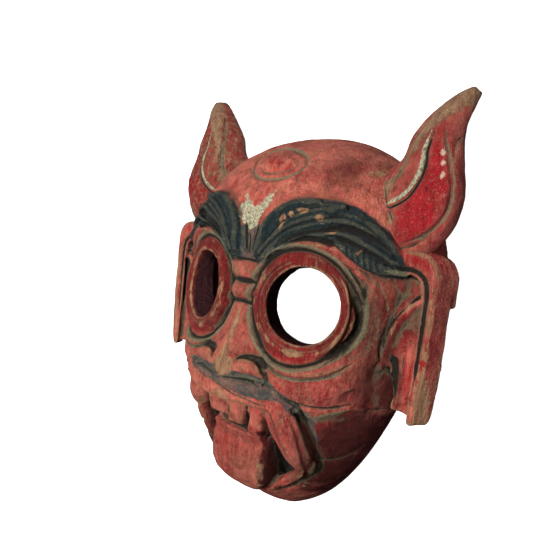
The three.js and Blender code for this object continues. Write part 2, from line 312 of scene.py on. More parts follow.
def fuse(piece: bpy.types.Object, voxel: float, smoothing: int) -> None:
    """Makes overlapping solids one skin and softens it.

    Args:
        piece: The mesh to remesh.
        voxel: Size of the new faces.
        smoothing: Number of smoothing passes.
    """
    activate(piece)
    remesh = piece.modifiers.new("Remesh", "REMESH")
    remesh.mode = "VOXEL"
    remesh.voxel_size = voxel
    bpy.ops.object.modifier_apply(modifier=remesh.name)
    smooth = piece.modifiers.new("Smooth", "SMOOTH")
    smooth.factor = 0.5
    smooth.iterations = smoothing
    bpy.ops.object.modifier_apply(modifier=smooth.name)


def cut_away(piece: bpy.types.Object, cutter: bpy.types.Object) -> None:
    """Subtracts a cutter from a piece and removes the cutter."""
    activate(piece)
    boolean = piece.modifiers.new("Boolean", "BOOLEAN")
    boolean.operation = "DIFFERENCE"
    boolean.solver = "MANIFOLD"
    boolean.object = cutter
    bpy.ops.object.modifier_apply(modifier=boolean.name)
    bpy.data.objects.remove(cutter)


def thin_out(piece: bpy.types.Object, triangles: int) -> None:
    """Reduces a piece to at most a number of triangles."""
    activate(piece)
    count = sum(len(face.vertices) - 2 for face in piece.data.polygons)
    if count > triangles:
        decimate = piece.modifiers.new("Decimate", "DECIMATE")
        decimate.ratio = triangles / count
        bpy.ops.object.modifier_apply(modifier=decimate.name)
    bpy.ops.object.shade_smooth()


def loft(name: str, rings: list[np.ndarray]) -> bpy.types.Object:
    """Extrudes a closed face ring by ring.

    Args:
        name: Name of the new piece.
        rings: Closed outlines of equal length, as rows of x, y, z.

    Returns:
        The closed piece.
    """
    deselect_all()
    bpy.ops.mesh.primitive_circle_add(vertices=len(rings[0]), radius=1.0, fill_type="NGON")
    piece = name_active(name)
    write_points(piece, rings[0])
    bpy.ops.object.mode_set(mode="EDIT")
    bpy.ops.mesh.select_all(action="SELECT")
    for last, following in zip(rings, rings[1:]):
        bpy.ops.mesh.extrude_region_move()
        mesh = bmesh.from_edit_mesh(piece.data)
        for vertex in (v for v in mesh.verts if v.select):
            nearest = np.argmin(((last - np.array(vertex.co)) ** 2).sum(axis=1))
            vertex.co = following[nearest]
        bmesh.update_edit_mesh(piece.data)
    bpy.ops.object.mode_set(mode="OBJECT")
    recalculate_normals(piece)
    return piece


def smooth_path(points: list[tuple[float, ...]], per_span: int = 6, closed: bool = False) -> np.ndarray:
    """Runs a Catmull-Rom curve through points.

    Args:
        points: The points, each with the same number of values.
        per_span: Number of steps between two points.
        closed: Whether the curve returns to its start.

    Returns:
        Points along the curve, as rows.
    """
    p = np.asarray(points, dtype=float)
    if closed:
        p = np.vstack([p[-1], p, p[0], p[1]])
    else:
        p = np.vstack([2 * p[0] - p[1], p, 2 * p[-1] - p[-2]])
    t = np.linspace(0, 1, per_span, endpoint=False)[:, None]
    spans = []
    for a, b, c, d in zip(p, p[1:], p[2:], p[3:]):
        spans.append(0.5 * (2 * b + (c - a) * t + (2 * a - 5 * b + 4 * c - d) * t**2
                            + (3 * b - a - 3 * c + d) * t**3))
    spans.append(p[-2][None, :])
    return np.vstack(spans)


@dataclass(frozen=True)
class Bar:
    """A rounded bar along a curve on the face.

    Attributes:
        stations: Rows of x, y, z, half width across the face and half depth.
        section: Its outline across and outward, in half sizes, or None for an oval one.
        sides: Number of sides of an oval section.
    """

    stations: tuple[tuple[float, ...], ...]
    section: tuple[tuple[float, float], ...] | None = None
    sides: int = 16

    def build(self, name: str) -> bpy.types.Object:
        """Models the bar and returns it."""
        path = smooth_path(list(self.stations), per_span=4)
        centres, sizes = path[:, :3], np.maximum(path[:, 3:], 0.4)
        headings = np.gradient(centres, axis=0)
        across = np.stack([headings[:, 1], -headings[:, 0], np.zeros(len(path))], axis=1)
        across /= np.linalg.norm(across, axis=1, keepdims=True)
        outward = np.cross(headings, across)
        outward /= np.linalg.norm(outward, axis=1, keepdims=True)
        turn = np.linspace(0, 2 * math.pi, self.sides, endpoint=False)
        outline = np.column_stack([np.cos(turn), np.sin(turn)])
        if self.section:
            outline = smooth_path(list(self.section), 2, closed=True)[:-1]
        rings = [c + s[0] * np.outer(outline[:, 0], a) + s[1] * np.outer(outline[:, 1], o)
                 for c, s, a, o in zip(centres, sizes, across, outward)]
        return loft(name, rings)


LIP_SECTION = ((-1.15, -0.9), (-1.02, -0.25), (-0.62, 0.35), (-0.05, 0.86), (0.45, 1.0), (0.85, 0.72),
               (1.02, 0.1), (0.95, -0.9))


def ridge(stations: tuple[tuple[float, ...], ...], rise: float, half_depth: float) -> Bar:
    """Lays a bar along the block's surface.

    Args:
        stations: Rows of x, y, half width and, where the bar is sunk, how far it is sunk.
        rise: How far its top stands above the block.
        half_depth: Half its thickness.

    Returns:
        The bar.
    """
    placed = tuple((x, y, float(HEAD.height(x, y)) + rise - half_depth - sum(sunk), w, half_depth)
                   for x, y, w, *sunk in stations)
    return Bar(placed)


def slab(name: str, outline: list[tuple[float, float]], low: float, high: float,
         lean: float = 0.0) -> bpy.types.Object:
    """Extrudes a flat outline, drawn in toward the midline by lean as it rises."""
    flat = np.asarray(outline, dtype=float)
    rings = []
    for t in (0.0, 0.5, 1.0):
        height = np.full(len(flat), low + t * (high - low))
        rings.append(np.column_stack([flat[:, 0] * (1 - lean * t), flat[:, 1], height]))
    return loft(name, rings)


def ellipsoid(name: str, centre: tuple[float, float, float], radii: tuple[float, float, float],
              tilt: float = 0.0) -> bpy.types.Object:
    """Adds a rounded boss.

    Args:
        name: Name of the new piece.
        centre: Its middle.
        radii: Its half sizes along X, Y and Z.
        tilt: Turn about X, in radians.

    Returns:
        The piece.
    """
    deselect_all()
    bpy.ops.mesh.primitive_uv_sphere_add(segments=BOSS_SEGMENTS, ring_count=BOSS_RINGS, radius=1.0)
    piece = name_active(name)
    shape = Matrix.Translation(centre) @ Matrix.Rotation(tilt, 4, "X") @ Matrix.Diagonal((*radii, 1))
    piece.data.transform(shape)
    return piece


# ---------------------------------------------------------------------------------------------
# Chisel strokes
# ---------------------------------------------------------------------------------------------


# Steps of a stroke's path between two of its points.
PATH_STEPS = 5
# Distance from its path, in half widths, past which a stroke leaves no mark.
STROKE_REACH = 3
# A tapered stroke is a quarter as wide at its ends, and full within a sixth of its length.
TAPER_END, TAPER_RATE = 0.25, 6
# A stroke drawn from the front is full where the surface faces out, and fades where it turns away.
FACING_BASE, FACING_RATE = 0.7, 3
# Slope and rounding of a vee's walls, and slope of a flat cut's walls.
VEE_SLOPE, VEE_POWER, FLAT_SLOPE = 0.62, 1.2, 7
# How closely soot and painted shade keep to the bottom of a groove.
SOOT_AND_SHADE_POWER = 2.2
# Number of waves in an undulation, their rate for a wavelength of 1, and what scales their sum to 1.
WAVES, WAVE_RATE, WAVE_SUM = 22, 2.2, 7.5


class Edge(Enum):
    """The shape that a chisel leaves."""

    ROUND = "round"
    VEE = "vee"
    FLAT = "flat"


@dataclass(frozen=True)
class Stroke:
    """One stroke of the chisel along a path.

    Attributes:
        path: Points of x, y, or x, y, z where the surface is steep.
        width: Half width of the stroke.
        depth: How far it raises the surface, or cuts it where below 0.
        edge: Shape of its section.
        soot: How dark its groove is, from 0 to 1: soot, and painted shade in deep grooves and gaps.
        olive: How much of the greenish varnish shows along it, from 0 to 1.
        mirrored: Whether the other side of the face has it too.
        closed: Whether the path returns to its start.
        tapered: Whether the stroke thins out at both ends.
    """

    path: tuple[tuple[float, ...], ...]
    width: float
    depth: float
    edge: Edge = Edge.ROUND
    soot: float = 0.0
    olive: float = 0.0
    mirrored: bool = True
    closed: bool = False
    tapered: bool = True

    def reach(self, points: np.ndarray) -> tuple[np.ndarray, np.ndarray]:
        """Finds the vertices that the stroke touches.

        Args:
            points: Vertices as rows of x, y, z.

        Returns:
            Their indices, and the strength of the stroke at each from 0 to 1.
        """
        path = smooth_path(list(self.path), per_span=PATH_STEPS, closed=self.closed)
        size = path.shape[1]
        where = points[:, :size].copy()
        if self.mirrored:
            where[:, 0] = np.abs(where[:, 0])
        margin = STROKE_REACH * self.width
        near = np.all((where > path.min(axis=0) - margin) & (where < path.max(axis=0) + margin), axis=1)
        index = np.nonzero(near)[0]
        if not len(index):
            return index, np.zeros(0)
        q = where[index]
        best = np.full(len(q), np.inf)
        along = np.zeros(len(q))
        spans = len(path) - 1
        for i, (a, b) in enumerate(zip(path, path[1:])):
            step = b - a
            t = np.clip(((q - a) @ step) / max(float(step @ step), 1e-9), 0, 1)
            gap = np.linalg.norm(q - (a + t[:, None] * step), axis=1)
            closer = gap < best
            best = np.where(closer, gap, best)
            along = np.where(closer, (i + t) / spans, along)
        reach = best / self.width
        if self.tapered and not self.closed:
            reach = reach / np.clip(np.minimum(along, 1 - along) * TAPER_RATE, TAPER_END, 1)
        return index, self.profile(reach)

    def touch(self, points: np.ndarray, normals: np.ndarray) -> tuple[np.ndarray, np.ndarray]:
        """Finds the vertices that the stroke touches, only those that face out where its path is flat."""
        index, strength = self.reach(points)
        if len(self.path[0]) == 2:
            strength = strength * np.clip(FACING_BASE + FACING_RATE * normals[index, 2], 0, 1)
        return index, strength

    def profile(self, reach: np.ndarray) -> np.ndarray:
        """Returns the stroke's strength at distances given in half widths."""
        if self.edge is Edge.VEE:
            return np.clip(1 - VEE_SLOPE * reach, 0, 1) ** VEE_POWER
        if self.edge is Edge.FLAT:
            return 1 / (1 + np.exp((reach - 1) * FLAT_SLOPE))
        return np.exp(-(reach**2))


def carve(piece: bpy.types.Object, strokes: list[Stroke], free: np.ndarray) -> None:
    """Cuts and raises a piece along strokes.

    Args:
        piece: The mesh to carve.
        strokes: The strokes, in order.
        free: True for each vertex that may move.
    """
    points, normals = read_points(piece), read_normals(piece)
    push = np.zeros(len(points))
    for stroke in strokes:
        index, strength = stroke.touch(points, normals)
        push[index] += stroke.depth * strength
    push_out(piece, np.where(free, push, 0.0))


def stroke_paint(piece: bpy.types.Object, strokes: list[Stroke], kind: str) -> np.ndarray:
    """Finds how much soot and painted shade, or olive varnish, the strokes left on a piece.

    Args:
        piece: The carved mesh.
        strokes: Its strokes.
        kind: "soot", for soot and painted shade, or "olive".

    Returns:
        The amount at each vertex.
    """
    points, normals = read_points(piece), read_normals(piece)
    total = np.zeros(len(points))
    for stroke in strokes:
        amount = stroke.soot if kind == "soot" else stroke.olive
        if amount > 0:
            index, strength = stroke.touch(points, normals)
            spread = strength**SOOT_AND_SHADE_POWER if kind == "soot" else strength
            total[index] = np.maximum(total[index], spread * amount)
    return total


def undulation(points: np.ndarray, wavelength: float, seed: int) -> np.ndarray:
    """Returns a smooth random value from about -1 to 1 at each point.

    Args:
        points: Rows of x, y, z.
        wavelength: Typical distance between two rises.
        seed: Number that the pattern grows from.

    Returns:
        The value at each point.
    """
    rng = np.random.default_rng(seed)
    waves = rng.normal(size=(WAVES, 3)) / wavelength * WAVE_RATE
    phases = rng.uniform(0, 2 * math.pi, WAVES)
    return np.cos(points @ waves.T + phases).sum(axis=1) / WAVE_SUM


def relaxed(piece: bpy.types.Object, points: np.ndarray, passes: int) -> np.ndarray:
    """Returns the vertices after moving each to the mean of its neighbours, a number of times."""
    edges = np.empty(len(piece.data.edges) * 2, dtype=np.int64)
    piece.data.edges.foreach_get("vertices", edges)
    first, second = edges.reshape(-1, 2).T
    count = np.bincount(np.concatenate([first, second]), minlength=len(points)).astype(float)
    count = np.maximum(count, 1)
    result = points.copy()
    for _ in range(passes):
        total = np.empty_like(result)
        for axis in range(3):
            value = result[:, axis]
            total[:, axis] = (np.bincount(first, value[second], minlength=len(points))
                              + np.bincount(second, value[first], minlength=len(points)))
        result = total / count[:, None]
    return result


def inside_distance(points: np.ndarray, outline: list[tuple[float, float]]) -> np.ndarray:
    """Measures how far points lie inside a closed outline, seen from the front.

    Args:
        points: Rows that start with x, y.
        outline: Corners of the outline.

    Returns:
        The distance to the outline, above 0 inside it and below 0 outside.
    """
    corners = np.asarray(outline, dtype=float)
    x, y = points[:, 0], points[:, 1]
    inside = np.zeros(len(points), dtype=bool)
    best = np.full(len(points), np.inf)
    for a, b in zip(corners, np.roll(corners, -1, axis=0)):
        step = b - a
        t = np.clip(((x - a[0]) * step[0] + (y - a[1]) * step[1]) / max(float(step @ step), 1e-9), 0, 1)
        best = np.minimum(best, np.hypot(x - a[0] - t * step[0], y - a[1] - t * step[1]))
        if a[1] != b[1]:
            crossing = a[0] + (y - a[1]) * step[0] / step[1]
            inside ^= ((a[1] > y) != (b[1] > y)) & (x < crossing)
    return np.where(inside, best, -best)


class Zone(Enum):
    """What the surface attributes of a piece record: the attribute and its channel."""

    BLACK = ("paint_a", 0)
    GREY = ("paint_a", 1)
    CREAM = ("paint_a", 2)
    # Soot in the grooves, with painted shade in deep grooves, gaps and the mouth.
    SOOT = ("paint_b", 0)
    BARE = ("paint_b", 1)
    # Darkening: mostly painted shade on the jaw, chin, sides, sockets and gaps, with smoke and stains.
    SMOKE = ("paint_b", 2)
    FRESH = ("paint_c", 0)
    OLIVE = ("paint_c", 1)
    # Pale marks: dust, painted white dots, and painted sheen on the forehead.
    PALE = ("paint_c", 2)
    HOLLOW = ("form", 0)
    CAVITY = ("form", 1)
    BROAD = ("form", 2)


ZONE_LAYERS = sorted({zone.value[0] for zone in Zone})
# Width in carver's millimetres over which a zone's value goes from 0 to 1 across its outline.
ZONE_REACH = 16.0


def zone_value(distance: np.ndarray) -> np.ndarray:
    """Turns a distance inside an outline into a value that is 0.5 on the outline."""
    return np.clip(0.5 + distance / ZONE_REACH, 0, 1)


def write_zones(piece: bpy.types.Object, values: dict[Zone, np.ndarray]) -> None:
    """Stores zone values on a mesh as colour attributes.

    Args:
        piece: The mesh that takes them.
        values: A value from 0 to 1 at each vertex for each zone, and 0 for a zone that is left out.
    """
    count = len(piece.data.vertices)
    for name in ZONE_LAYERS:
        colours = np.zeros((count, 4))
        colours[:, 3] = 1.0
        for zone, value in values.items():
            if zone.value[0] == name:
                colours[:, zone.value[1]] = np.clip(value, 0, 1)
        layer = piece.data.color_attributes.new(name=name, type="FLOAT_COLOR", domain="POINT")
        layer.data.foreach_set("color", colours.ravel())


def form_values(piece: bpy.types.Object) -> dict[Zone, np.ndarray]:
    """Measures hollows and crests, fine and broad, as values around 0.5."""
    points, normals = read_points(piece), read_normals(piece)
    fine = ((relaxed(piece, points, FINE_PASSES) - points) * normals).sum(axis=1)
    broad = ((relaxed(piece, points, BROAD_PASSES) - points) * normals).sum(axis=1)
    return {Zone.CAVITY: 0.5 + fine / FINE_DEPTH, Zone.BROAD: 0.5 + broad / BROAD_DEPTH}


# ---------------------------------------------------------------------------------------------
# Finishes
# ---------------------------------------------------------------------------------------------


Value = float | bpy.types.NodeSocket
Colour = tuple[float, float, float]


class Nodes:
    """Adds and links nodes in one node tree."""

    def __init__(self, tree: bpy.types.NodeTree) -> None:
        """Keeps the tree that nodes are added to."""
        self.tree = tree

    def add(self, kind: str, inputs: dict | None = None, **settings) -> bpy.types.Node:
        """Adds a node.

        Args:
            kind: Blender's name of the node's type.
            inputs: A value or a socket for each named or numbered input.
            **settings: Properties of the node.

        Returns:
            The node.
        """
        node = self.tree.nodes.new(kind)
        for key, value in settings.items():
            setattr(node, key, value)
        for key, value in (inputs or {}).items():
            if isinstance(value, bpy.types.NodeSocket):
                self.tree.links.new(value, node.inputs[key])
            else:
                node.inputs[key].default_value = value
        return node

    def math(self, operation: str, *values: Value, clamp: bool = False) -> bpy.types.NodeSocket:
        """Adds a Math node and returns its result."""
        node = self.add("ShaderNodeMath", dict(enumerate(values)), operation=operation, use_clamp=clamp)
        return node.outputs[0]

    def times(self, first: Value, second: Value) -> bpy.types.NodeSocket:
        """Multiplies two values."""
        return self.math("MULTIPLY", first, second)

    def plus(self, first: Value, second: Value, clamp: bool = False) -> bpy.types.NodeSocket:
        """Adds two values."""
        return self.math("ADD", first, second, clamp=clamp)

    def minus(self, first: Value, second: Value, clamp: bool = False) -> bpy.types.NodeSocket:
        """Takes the second value from the first."""
        return self.math("SUBTRACT", first, second, clamp=clamp)

    def most(self, first: Value, second: Value) -> bpy.types.NodeSocket:
        """Keeps the larger of two values."""
        return self.math("MAXIMUM", first, second)

    def swing(self, value: Value, amount: Value) -> bpy.types.NodeSocket:
        """Turns a value around 0.5 into one around 0, times an amount."""
        return self.times(self.minus(value, 0.5), amount)

    def mix(self, factor: Value, first, second) -> bpy.types.NodeSocket:
        """Mixes two colours, each a socket or a red, green and blue, and returns the result."""
        first, second = ((*c, 1.0) if isinstance(c, tuple) else c for c in (first, second))
        node = self.add("ShaderNodeMix", {0: factor, 6: first, 7: second}, data_type="RGBA")
        return node.outputs[2]

    def step(self, value, low, high) -> bpy.types.NodeSocket:
        """Rises smoothly from 0 to 1 as a value goes from low to high."""
        node = self.add("ShaderNodeMapRange", {"Value": value, "From Min": low, "From Max": high},
                        interpolation_type="SMOOTHSTEP", clamp=True)
        return node.outputs[0]

    def noise(self, vector, scale: float, detail: float = 4.0,
              roughness: float = 0.55) -> bpy.types.NodeSocket:
        """Adds a noise texture and returns its value."""
        node = self.add("ShaderNodeTexNoise", {"Vector": vector, "Scale": scale, "Detail": detail,
                                               "Roughness": roughness})
        return node.outputs["Fac"]

    def stretched(self, vector, scale: tuple[float, float, float]) -> bpy.types.NodeSocket:
        """Scales a vector along each axis."""
        node = self.add("ShaderNodeMapping", {"Vector": vector, "Scale": scale})
        return node.outputs[0]

    def place(self) -> bpy.types.NodeSocket:
        """Returns the Object coordinates."""
        return self.add("ShaderNodeTexCoord").outputs["Object"]

    def zones(self) -> dict[Zone, bpy.types.NodeSocket]:
        """Reads every zone's attribute and returns its socket."""
        sockets = {}
        for name in ZONE_LAYERS:
            attribute = self.add("ShaderNodeAttribute", attribute_name=name)
            split = self.add("ShaderNodeSeparateColor", {0: attribute.outputs["Color"]})
            for zone in (z for z in Zone if z.value[0] == name):
                sockets[zone] = split.outputs[zone.value[1]]
        return sockets


class Effect(Enum):
    """Shared effects, each a node group."""

    GRAIN = "wood_grain"
    RAGGED = "ragged_zone"
    WEAR = "edge_wear"
    # Soot and varnish in the grooves, with painted shade in the hollows.
    GRIME = "settled_grime"


class Effects:
    """Builds each shared node group once."""

    def __init__(self) -> None:
        """Builds the groups."""
        self.groups = {
            Effect.GRAIN: self.grain(),
            Effect.RAGGED: self.ragged(),
            Effect.WEAR: self.wear(),
            Effect.GRIME: self.grime(),
        }

    @staticmethod
    def start(effect: Effect, **inputs: float) -> tuple[Nodes, bpy.types.NodeSocket, bpy.types.NodeOutputs]:
        """Starts a group that takes a place and some values.

        Args:
            effect: The effect that the group makes.
            **inputs: Default of each value that it takes.

        Returns:
            The group's node helper, its place and all that it takes.
        """
        group = bpy.data.node_groups.new(effect.value, "ShaderNodeTree")
        group.interface.new_socket(name="Vector", in_out="INPUT", socket_type="NodeSocketVector")
        for name, value in inputs.items():
            socket = group.interface.new_socket(name=name, in_out="INPUT", socket_type="NodeSocketFloat")
            socket.default_value = value
        nodes = Nodes(group)
        given = nodes.add("NodeGroupInput").outputs
        return nodes, given["Vector"], given

    @staticmethod
    def finish(nodes: Nodes, **outputs: bpy.types.NodeSocket) -> bpy.types.NodeTree:
        """Gives a group its named outputs and returns it."""
        for name in outputs:
            nodes.tree.interface.new_socket(name=name, in_out="OUTPUT", socket_type="NodeSocketFloat")
        nodes.add("NodeGroupOutput", outputs)
        return nodes.tree

    def grain(self) -> bpy.types.NodeTree:
        """Wood grain that runs along Y, as a tone and a height."""
        n, place, given = self.start(Effect.GRAIN, Warp=1.0)
        bend = n.noise(n.stretched(place, (1, 0.35, 1)), 24, 3)
        shift = n.swing(bend, given["Warp"])
        offset = n.add("ShaderNodeCombineXYZ", {0: n.times(shift, 0.02)}).outputs[0]
        bent = n.add("ShaderNodeVectorMath", {0: place, 1: offset}, operation="ADD").outputs[0]
        rings = n.noise(n.stretched(bent, (1, 0.05, 1)), 260, 5, 0.6)
        fibres = n.noise(n.stretched(bent, (1, 0.035, 1)), 1400, 3, 0.6)
        tone = n.plus(n.times(rings, 0.65), n.times(fibres, 0.35))
        return self.finish(n, Tone=n.step(tone, 0.32, 0.68), Height=tone)

    def ragged(self) -> bpy.types.NodeTree:
        """A painted area whose edge is ragged and whose inside is chipped."""
        n, place, given = self.start(Effect.RAGGED, Field=0.0, Roughness=0.1, Softness=0.03, Chips=0.1)
        rag = n.minus(n.noise(place, 260, 5, 0.65), 0.5)
        field = n.plus(given["Field"], n.times(rag, given["Roughness"]))
        low = n.minus(0.5, given["Softness"])
        high = n.plus(0.5, given["Softness"])
        area = n.step(field, low, high)
        chip = n.noise(n.stretched(place, (1, 0.6, 1)), 620, 4, 0.7)
        edge = n.minus(0.72, n.times(given["Chips"], 0.3))
        gone = n.step(chip, edge, n.plus(edge, 0.05))
        return self.finish(n, Mask=n.times(area, n.minus(1.0, gone)))

    def wear(self) -> bpy.types.NodeTree:
        """Paint rubbed off crests, in patches, with thin paint around them."""
        n, place, given = self.start(Effect.WEAR, Cavity=0.5, Broad=0.5, Amount=0.5)
        crest = n.plus(n.minus(0.5, given["Cavity"]), n.times(n.minus(0.5, given["Broad"]), 0.45))
        patch = n.noise(n.stretched(place, (1, 0.5, 1)), 110, 6, 0.7)
        fleck = n.noise(n.stretched(place, (1, 0.3, 1)), 800, 3, 0.6)
        total = n.plus(n.plus(crest, n.swing(patch, 1.1)), n.swing(fleck, 0.7))
        total = n.plus(total, n.swing(given["Amount"], 0.8))
        return self.finish(n, Mask=n.step(total, 0.50, 0.60), Thin=n.step(total, 0.0, 0.55))

    def grime(self) -> bpy.types.NodeTree:
        """Soot with painted shade, darker the deeper the hollow, and old varnish, settled in grooves."""
        n, place, given = self.start(Effect.GRIME, Cavity=0.5, Broad=0.5, Stroke=0.0)
        deep = n.plus(n.swing(given["Cavity"], 0.75), n.swing(given["Broad"], 0.55))
        rough = n.swing(n.noise(place, 300, 6, 0.7), 0.7)
        total = n.plus(n.plus(deep, rough), n.times(given["Stroke"], 0.75))
        # The dark output is soot and painted shade in the hollows; the pale one is the varnish.
        return self.finish(n, Soot=n.step(total, 0.32, 0.78), Varnish=n.step(total, 0.13, 0.40))

    def use(self, nodes: Nodes, effect: Effect, **inputs) -> bpy.types.Node:
        """Places a group in a tree.

        Args:
            nodes: Helper of the tree.
            effect: The effect wanted.
            **inputs: A value or a socket for each input.

        Returns:
            The group's node.
        """
        return nodes.add("ShaderNodeGroup", inputs, node_tree=self.groups[effect])


@dataclass(frozen=True)
class PaintedWood:
    """Old red paint over carved wood, with its other colours, soot and painted shade, and bare patches.

    Attributes:
        name: Name of the material.
        fresh: The crimson where the paint is thick.
        faded: The paint where it is rubbed and dusty.
        ochre: The paint where varnish has browned it.
        deep: The darkest paint, for dark mottling, smoke and stains, and painted shade in hollows and on
            sides turned from the light.
        dust_and_glint: Pale specks on the paint: dust, and painted glints.
        bare: Wood where the paint is gone.
        bare_dark: The dark lines of that wood.
        black: Paint of the brows.
        grey: Paint of the lip, and old strokes on the brows.
        cream: Pale paint and filler.
        soot: Soot and painted shade in the grooves and hollows.
        olive: Greenish varnish along the grooves.
        hollow: Wood inside the mask.
        wear: How much paint has gone, from 0 to 1.
        sheen: How much light it mirrors.
        relief: Height in metres of its finest relief.
    """

    name: str
    fresh: Colour = (0.235, 0.010, 0.012)
    faded: Colour = (0.43, 0.120, 0.082)
    ochre: Colour = (0.29, 0.105, 0.052)
    deep: Colour = (0.040, 0.005, 0.004)
    dust_and_glint: Colour = (0.42, 0.30, 0.22)
    bare: Colour = (0.26, 0.145, 0.075)
    bare_dark: Colour = (0.10, 0.042, 0.022)
    black: Colour = (0.007, 0.013, 0.014)
    grey: Colour = (0.024, 0.034, 0.034)
    cream: Colour = (0.32, 0.31, 0.205)
    soot: Colour = (0.008, 0.007, 0.006)
    olive: Colour = (0.100, 0.090, 0.052)
    hollow: Colour = (0.026, 0.005, 0.006)
    wear: float = 0.5
    sheen: float = 0.13
    relief: float = 0.0021

    def build(self, effects: Effects) -> bpy.types.Material:
        """Makes the material.

        Args:
            effects: The shared node groups.

        Returns:
            The material.
        """
        material = bpy.data.materials.new(self.name)
        material.use_nodes = True
        material.node_tree.nodes.clear()
        n = Nodes(material.node_tree)
        place, zone = n.place(), n.zones()
        grain = effects.use(n, Effect.GRAIN, Vector=place, Warp=1.0)
        wear = effects.use(n, Effect.WEAR, Vector=place, Cavity=zone[Zone.CAVITY],
                           Broad=zone[Zone.BROAD], Amount=self.wear)
        grime = effects.use(n, Effect.GRIME, Vector=place, Cavity=zone[Zone.CAVITY],
                            Broad=zone[Zone.BROAD], Stroke=zone[Zone.SOOT])
        wood = n.mix(grain.outputs["Tone"], self.bare_dark, self.bare)
        red = self.red_paint(n, place, zone, wear, grain)
        bared = self.area(n, effects, place, zone[Zone.BARE], 0.75, 0.08, 0.3)
        chipped = n.most(n.times(wear.outputs["Mask"], 0.8), bared)
        colour = self.other_paints(n, effects, place, zone, wear, n.mix(chipped, red, wood))
        colour = n.mix(bared, colour, wood)
        colour = self.settled(n, place, zone, grime, colour)
        inside = n.mix(grain.outputs["Tone"], self.hollow, self.bare_dark)
        colour = n.mix(zone[Zone.HOLLOW], colour, n.mix(zone[Zone.SMOKE], inside, self.hollow))
        self.shade(n, colour, place, grain, chipped)
        return material

    def red_paint(self, n: Nodes, place, zone: dict, wear, grain) -> bpy.types.NodeSocket:
        """Returns the red paint: patches of fresh, faded and darkened colour with flecks, dust and painted
        glints, and painted shade in hollows and on the shaded sides.
        """
        patches = n.step(n.noise(n.stretched(place, (1, 0.7, 1)), 38, 6, 0.65), 0.36, 0.64)
        streaks = n.step(n.noise(n.stretched(place, (1, 0.18, 1)), 330, 5, 0.7), 0.40, 0.60)
        fade = n.plus(n.times(patches, 0.34), n.times(streaks, 0.42))
        fade = n.plus(n.plus(fade, 0.22), n.times(wear.outputs["Thin"], 0.35))
        fade = n.minus(fade, n.times(zone[Zone.FRESH], 0.80), clamp=True)
        red = n.mix(fade, self.fresh, self.faded)
        browned = n.step(n.noise(n.stretched(place, (1, 0.5, 1)), 90, 6, 0.72), 0.47, 0.62)
        browned = n.minus(n.times(browned, 0.55), zone[Zone.FRESH], clamp=True)
        red = n.mix(browned, red, self.ochre)
        shade = n.times(n.minus(1.0, grain.outputs["Tone"]), 0.34)
        red = n.mix(shade, red, self.deep)
        drift = n.step(n.noise(n.stretched(place, (1, 0.8, 1)), 34, 5, 0.68), 0.44, 0.62)
        red = n.mix(n.times(drift, 0.34), red, self.deep)
        blotch = n.step(n.noise(n.stretched(place, (1, 0.7, 1)), 165, 6, 0.74), 0.50, 0.66)
        red = n.mix(n.times(blotch, 0.60), red, self.deep)
        cluster = n.step(n.noise(place, 75, 5, 0.7), 0.36, 0.66)
        amount = n.plus(n.times(cluster, 0.55), n.times(zone[Zone.FRESH], 0.25))
        green = n.step(n.noise(place, 520, 4, 0.8), 0.56, 0.66)
        red = n.mix(n.times(green, amount), red, self.olive)
        # Pale flecks: dust, and painted glints.
        pale = n.step(n.noise(place, 840, 4, 0.8), 0.58, 0.66)
        red = n.mix(n.times(pale, amount), red, self.dust_and_glint)
        dark = n.step(n.noise(n.stretched(place, (1.0, 1.3, 1.1)), 620, 5, 0.8), 0.56, 0.68)
        red = n.mix(n.times(dark, 0.85), red, self.deep)
        # Painted shade: darker in broad hollows.
        sunk = n.times(n.step(zone[Zone.BROAD], 0.50, 0.85), 0.75)
        red = n.mix(sunk, red, self.deep)
        # Smoke and painted shade where the mesh records them, broken up into clouds.
        cloud = n.swing(n.noise(place, 120, 5, 0.65), 1.1)
        smoke = n.plus(zone[Zone.SMOKE], n.times(cloud, zone[Zone.SMOKE]), clamp=True)
        return n.mix(smoke, red, self.deep)

    def other_paints(self, n: Nodes, effects: Effects, place, zone: dict, wear,
                     colour) -> bpy.types.NodeSocket:
        """Lays the grey, black and cream paints over a colour, with flecks of dust and painted glints on
        the black.
        """
        grey = self.area(n, effects, place, zone[Zone.GREY], 0.16, 0.06, 0.02)
        tint = n.times(n.step(n.noise(place, 300, 5, 0.7), 0.46, 0.66), 0.6)
        mottled = n.mix(tint, self.grey, self.olive)
        rubbed = n.times(n.step(wear.outputs["Thin"], 0.7, 1.0), 0.15)
        colour = n.mix(n.times(grey, 0.94), colour, n.mix(rubbed, mottled, self.faded))
        black = self.area(n, effects, place, zone[Zone.BLACK], 0.14, 0.04, 0.10)
        strokes = n.step(n.noise(n.stretched(place, (1, 0.5, 1)), 420, 5, 0.7), 0.48, 0.70)
        brow_colour = n.mix(n.times(strokes, 0.5), self.black, self.grey)
        # Pale flecks on the brows: dust, and painted glints, thicker on rubbed edges.
        fleck = n.step(n.noise(place, 640, 4, 0.8), 0.60, 0.68)
        edge = n.times(n.step(wear.outputs["Thin"], 0.65, 1.0), 0.5)
        brow_colour = n.mix(n.times(fleck, n.plus(edge, 0.15)), brow_colour, self.dust_and_glint)
        brow_colour = n.mix(n.times(edge, 0.5), brow_colour, self.olive)
        colour = n.mix(black, colour, brow_colour)
        cream = self.area(n, effects, place, zone[Zone.CREAM], 0.45, 0.03, 0.5)
        pale = n.mix(n.step(n.noise(place, 520, 5, 0.8), 0.40, 0.56), self.olive, self.cream)
        return n.mix(cream, colour, pale)

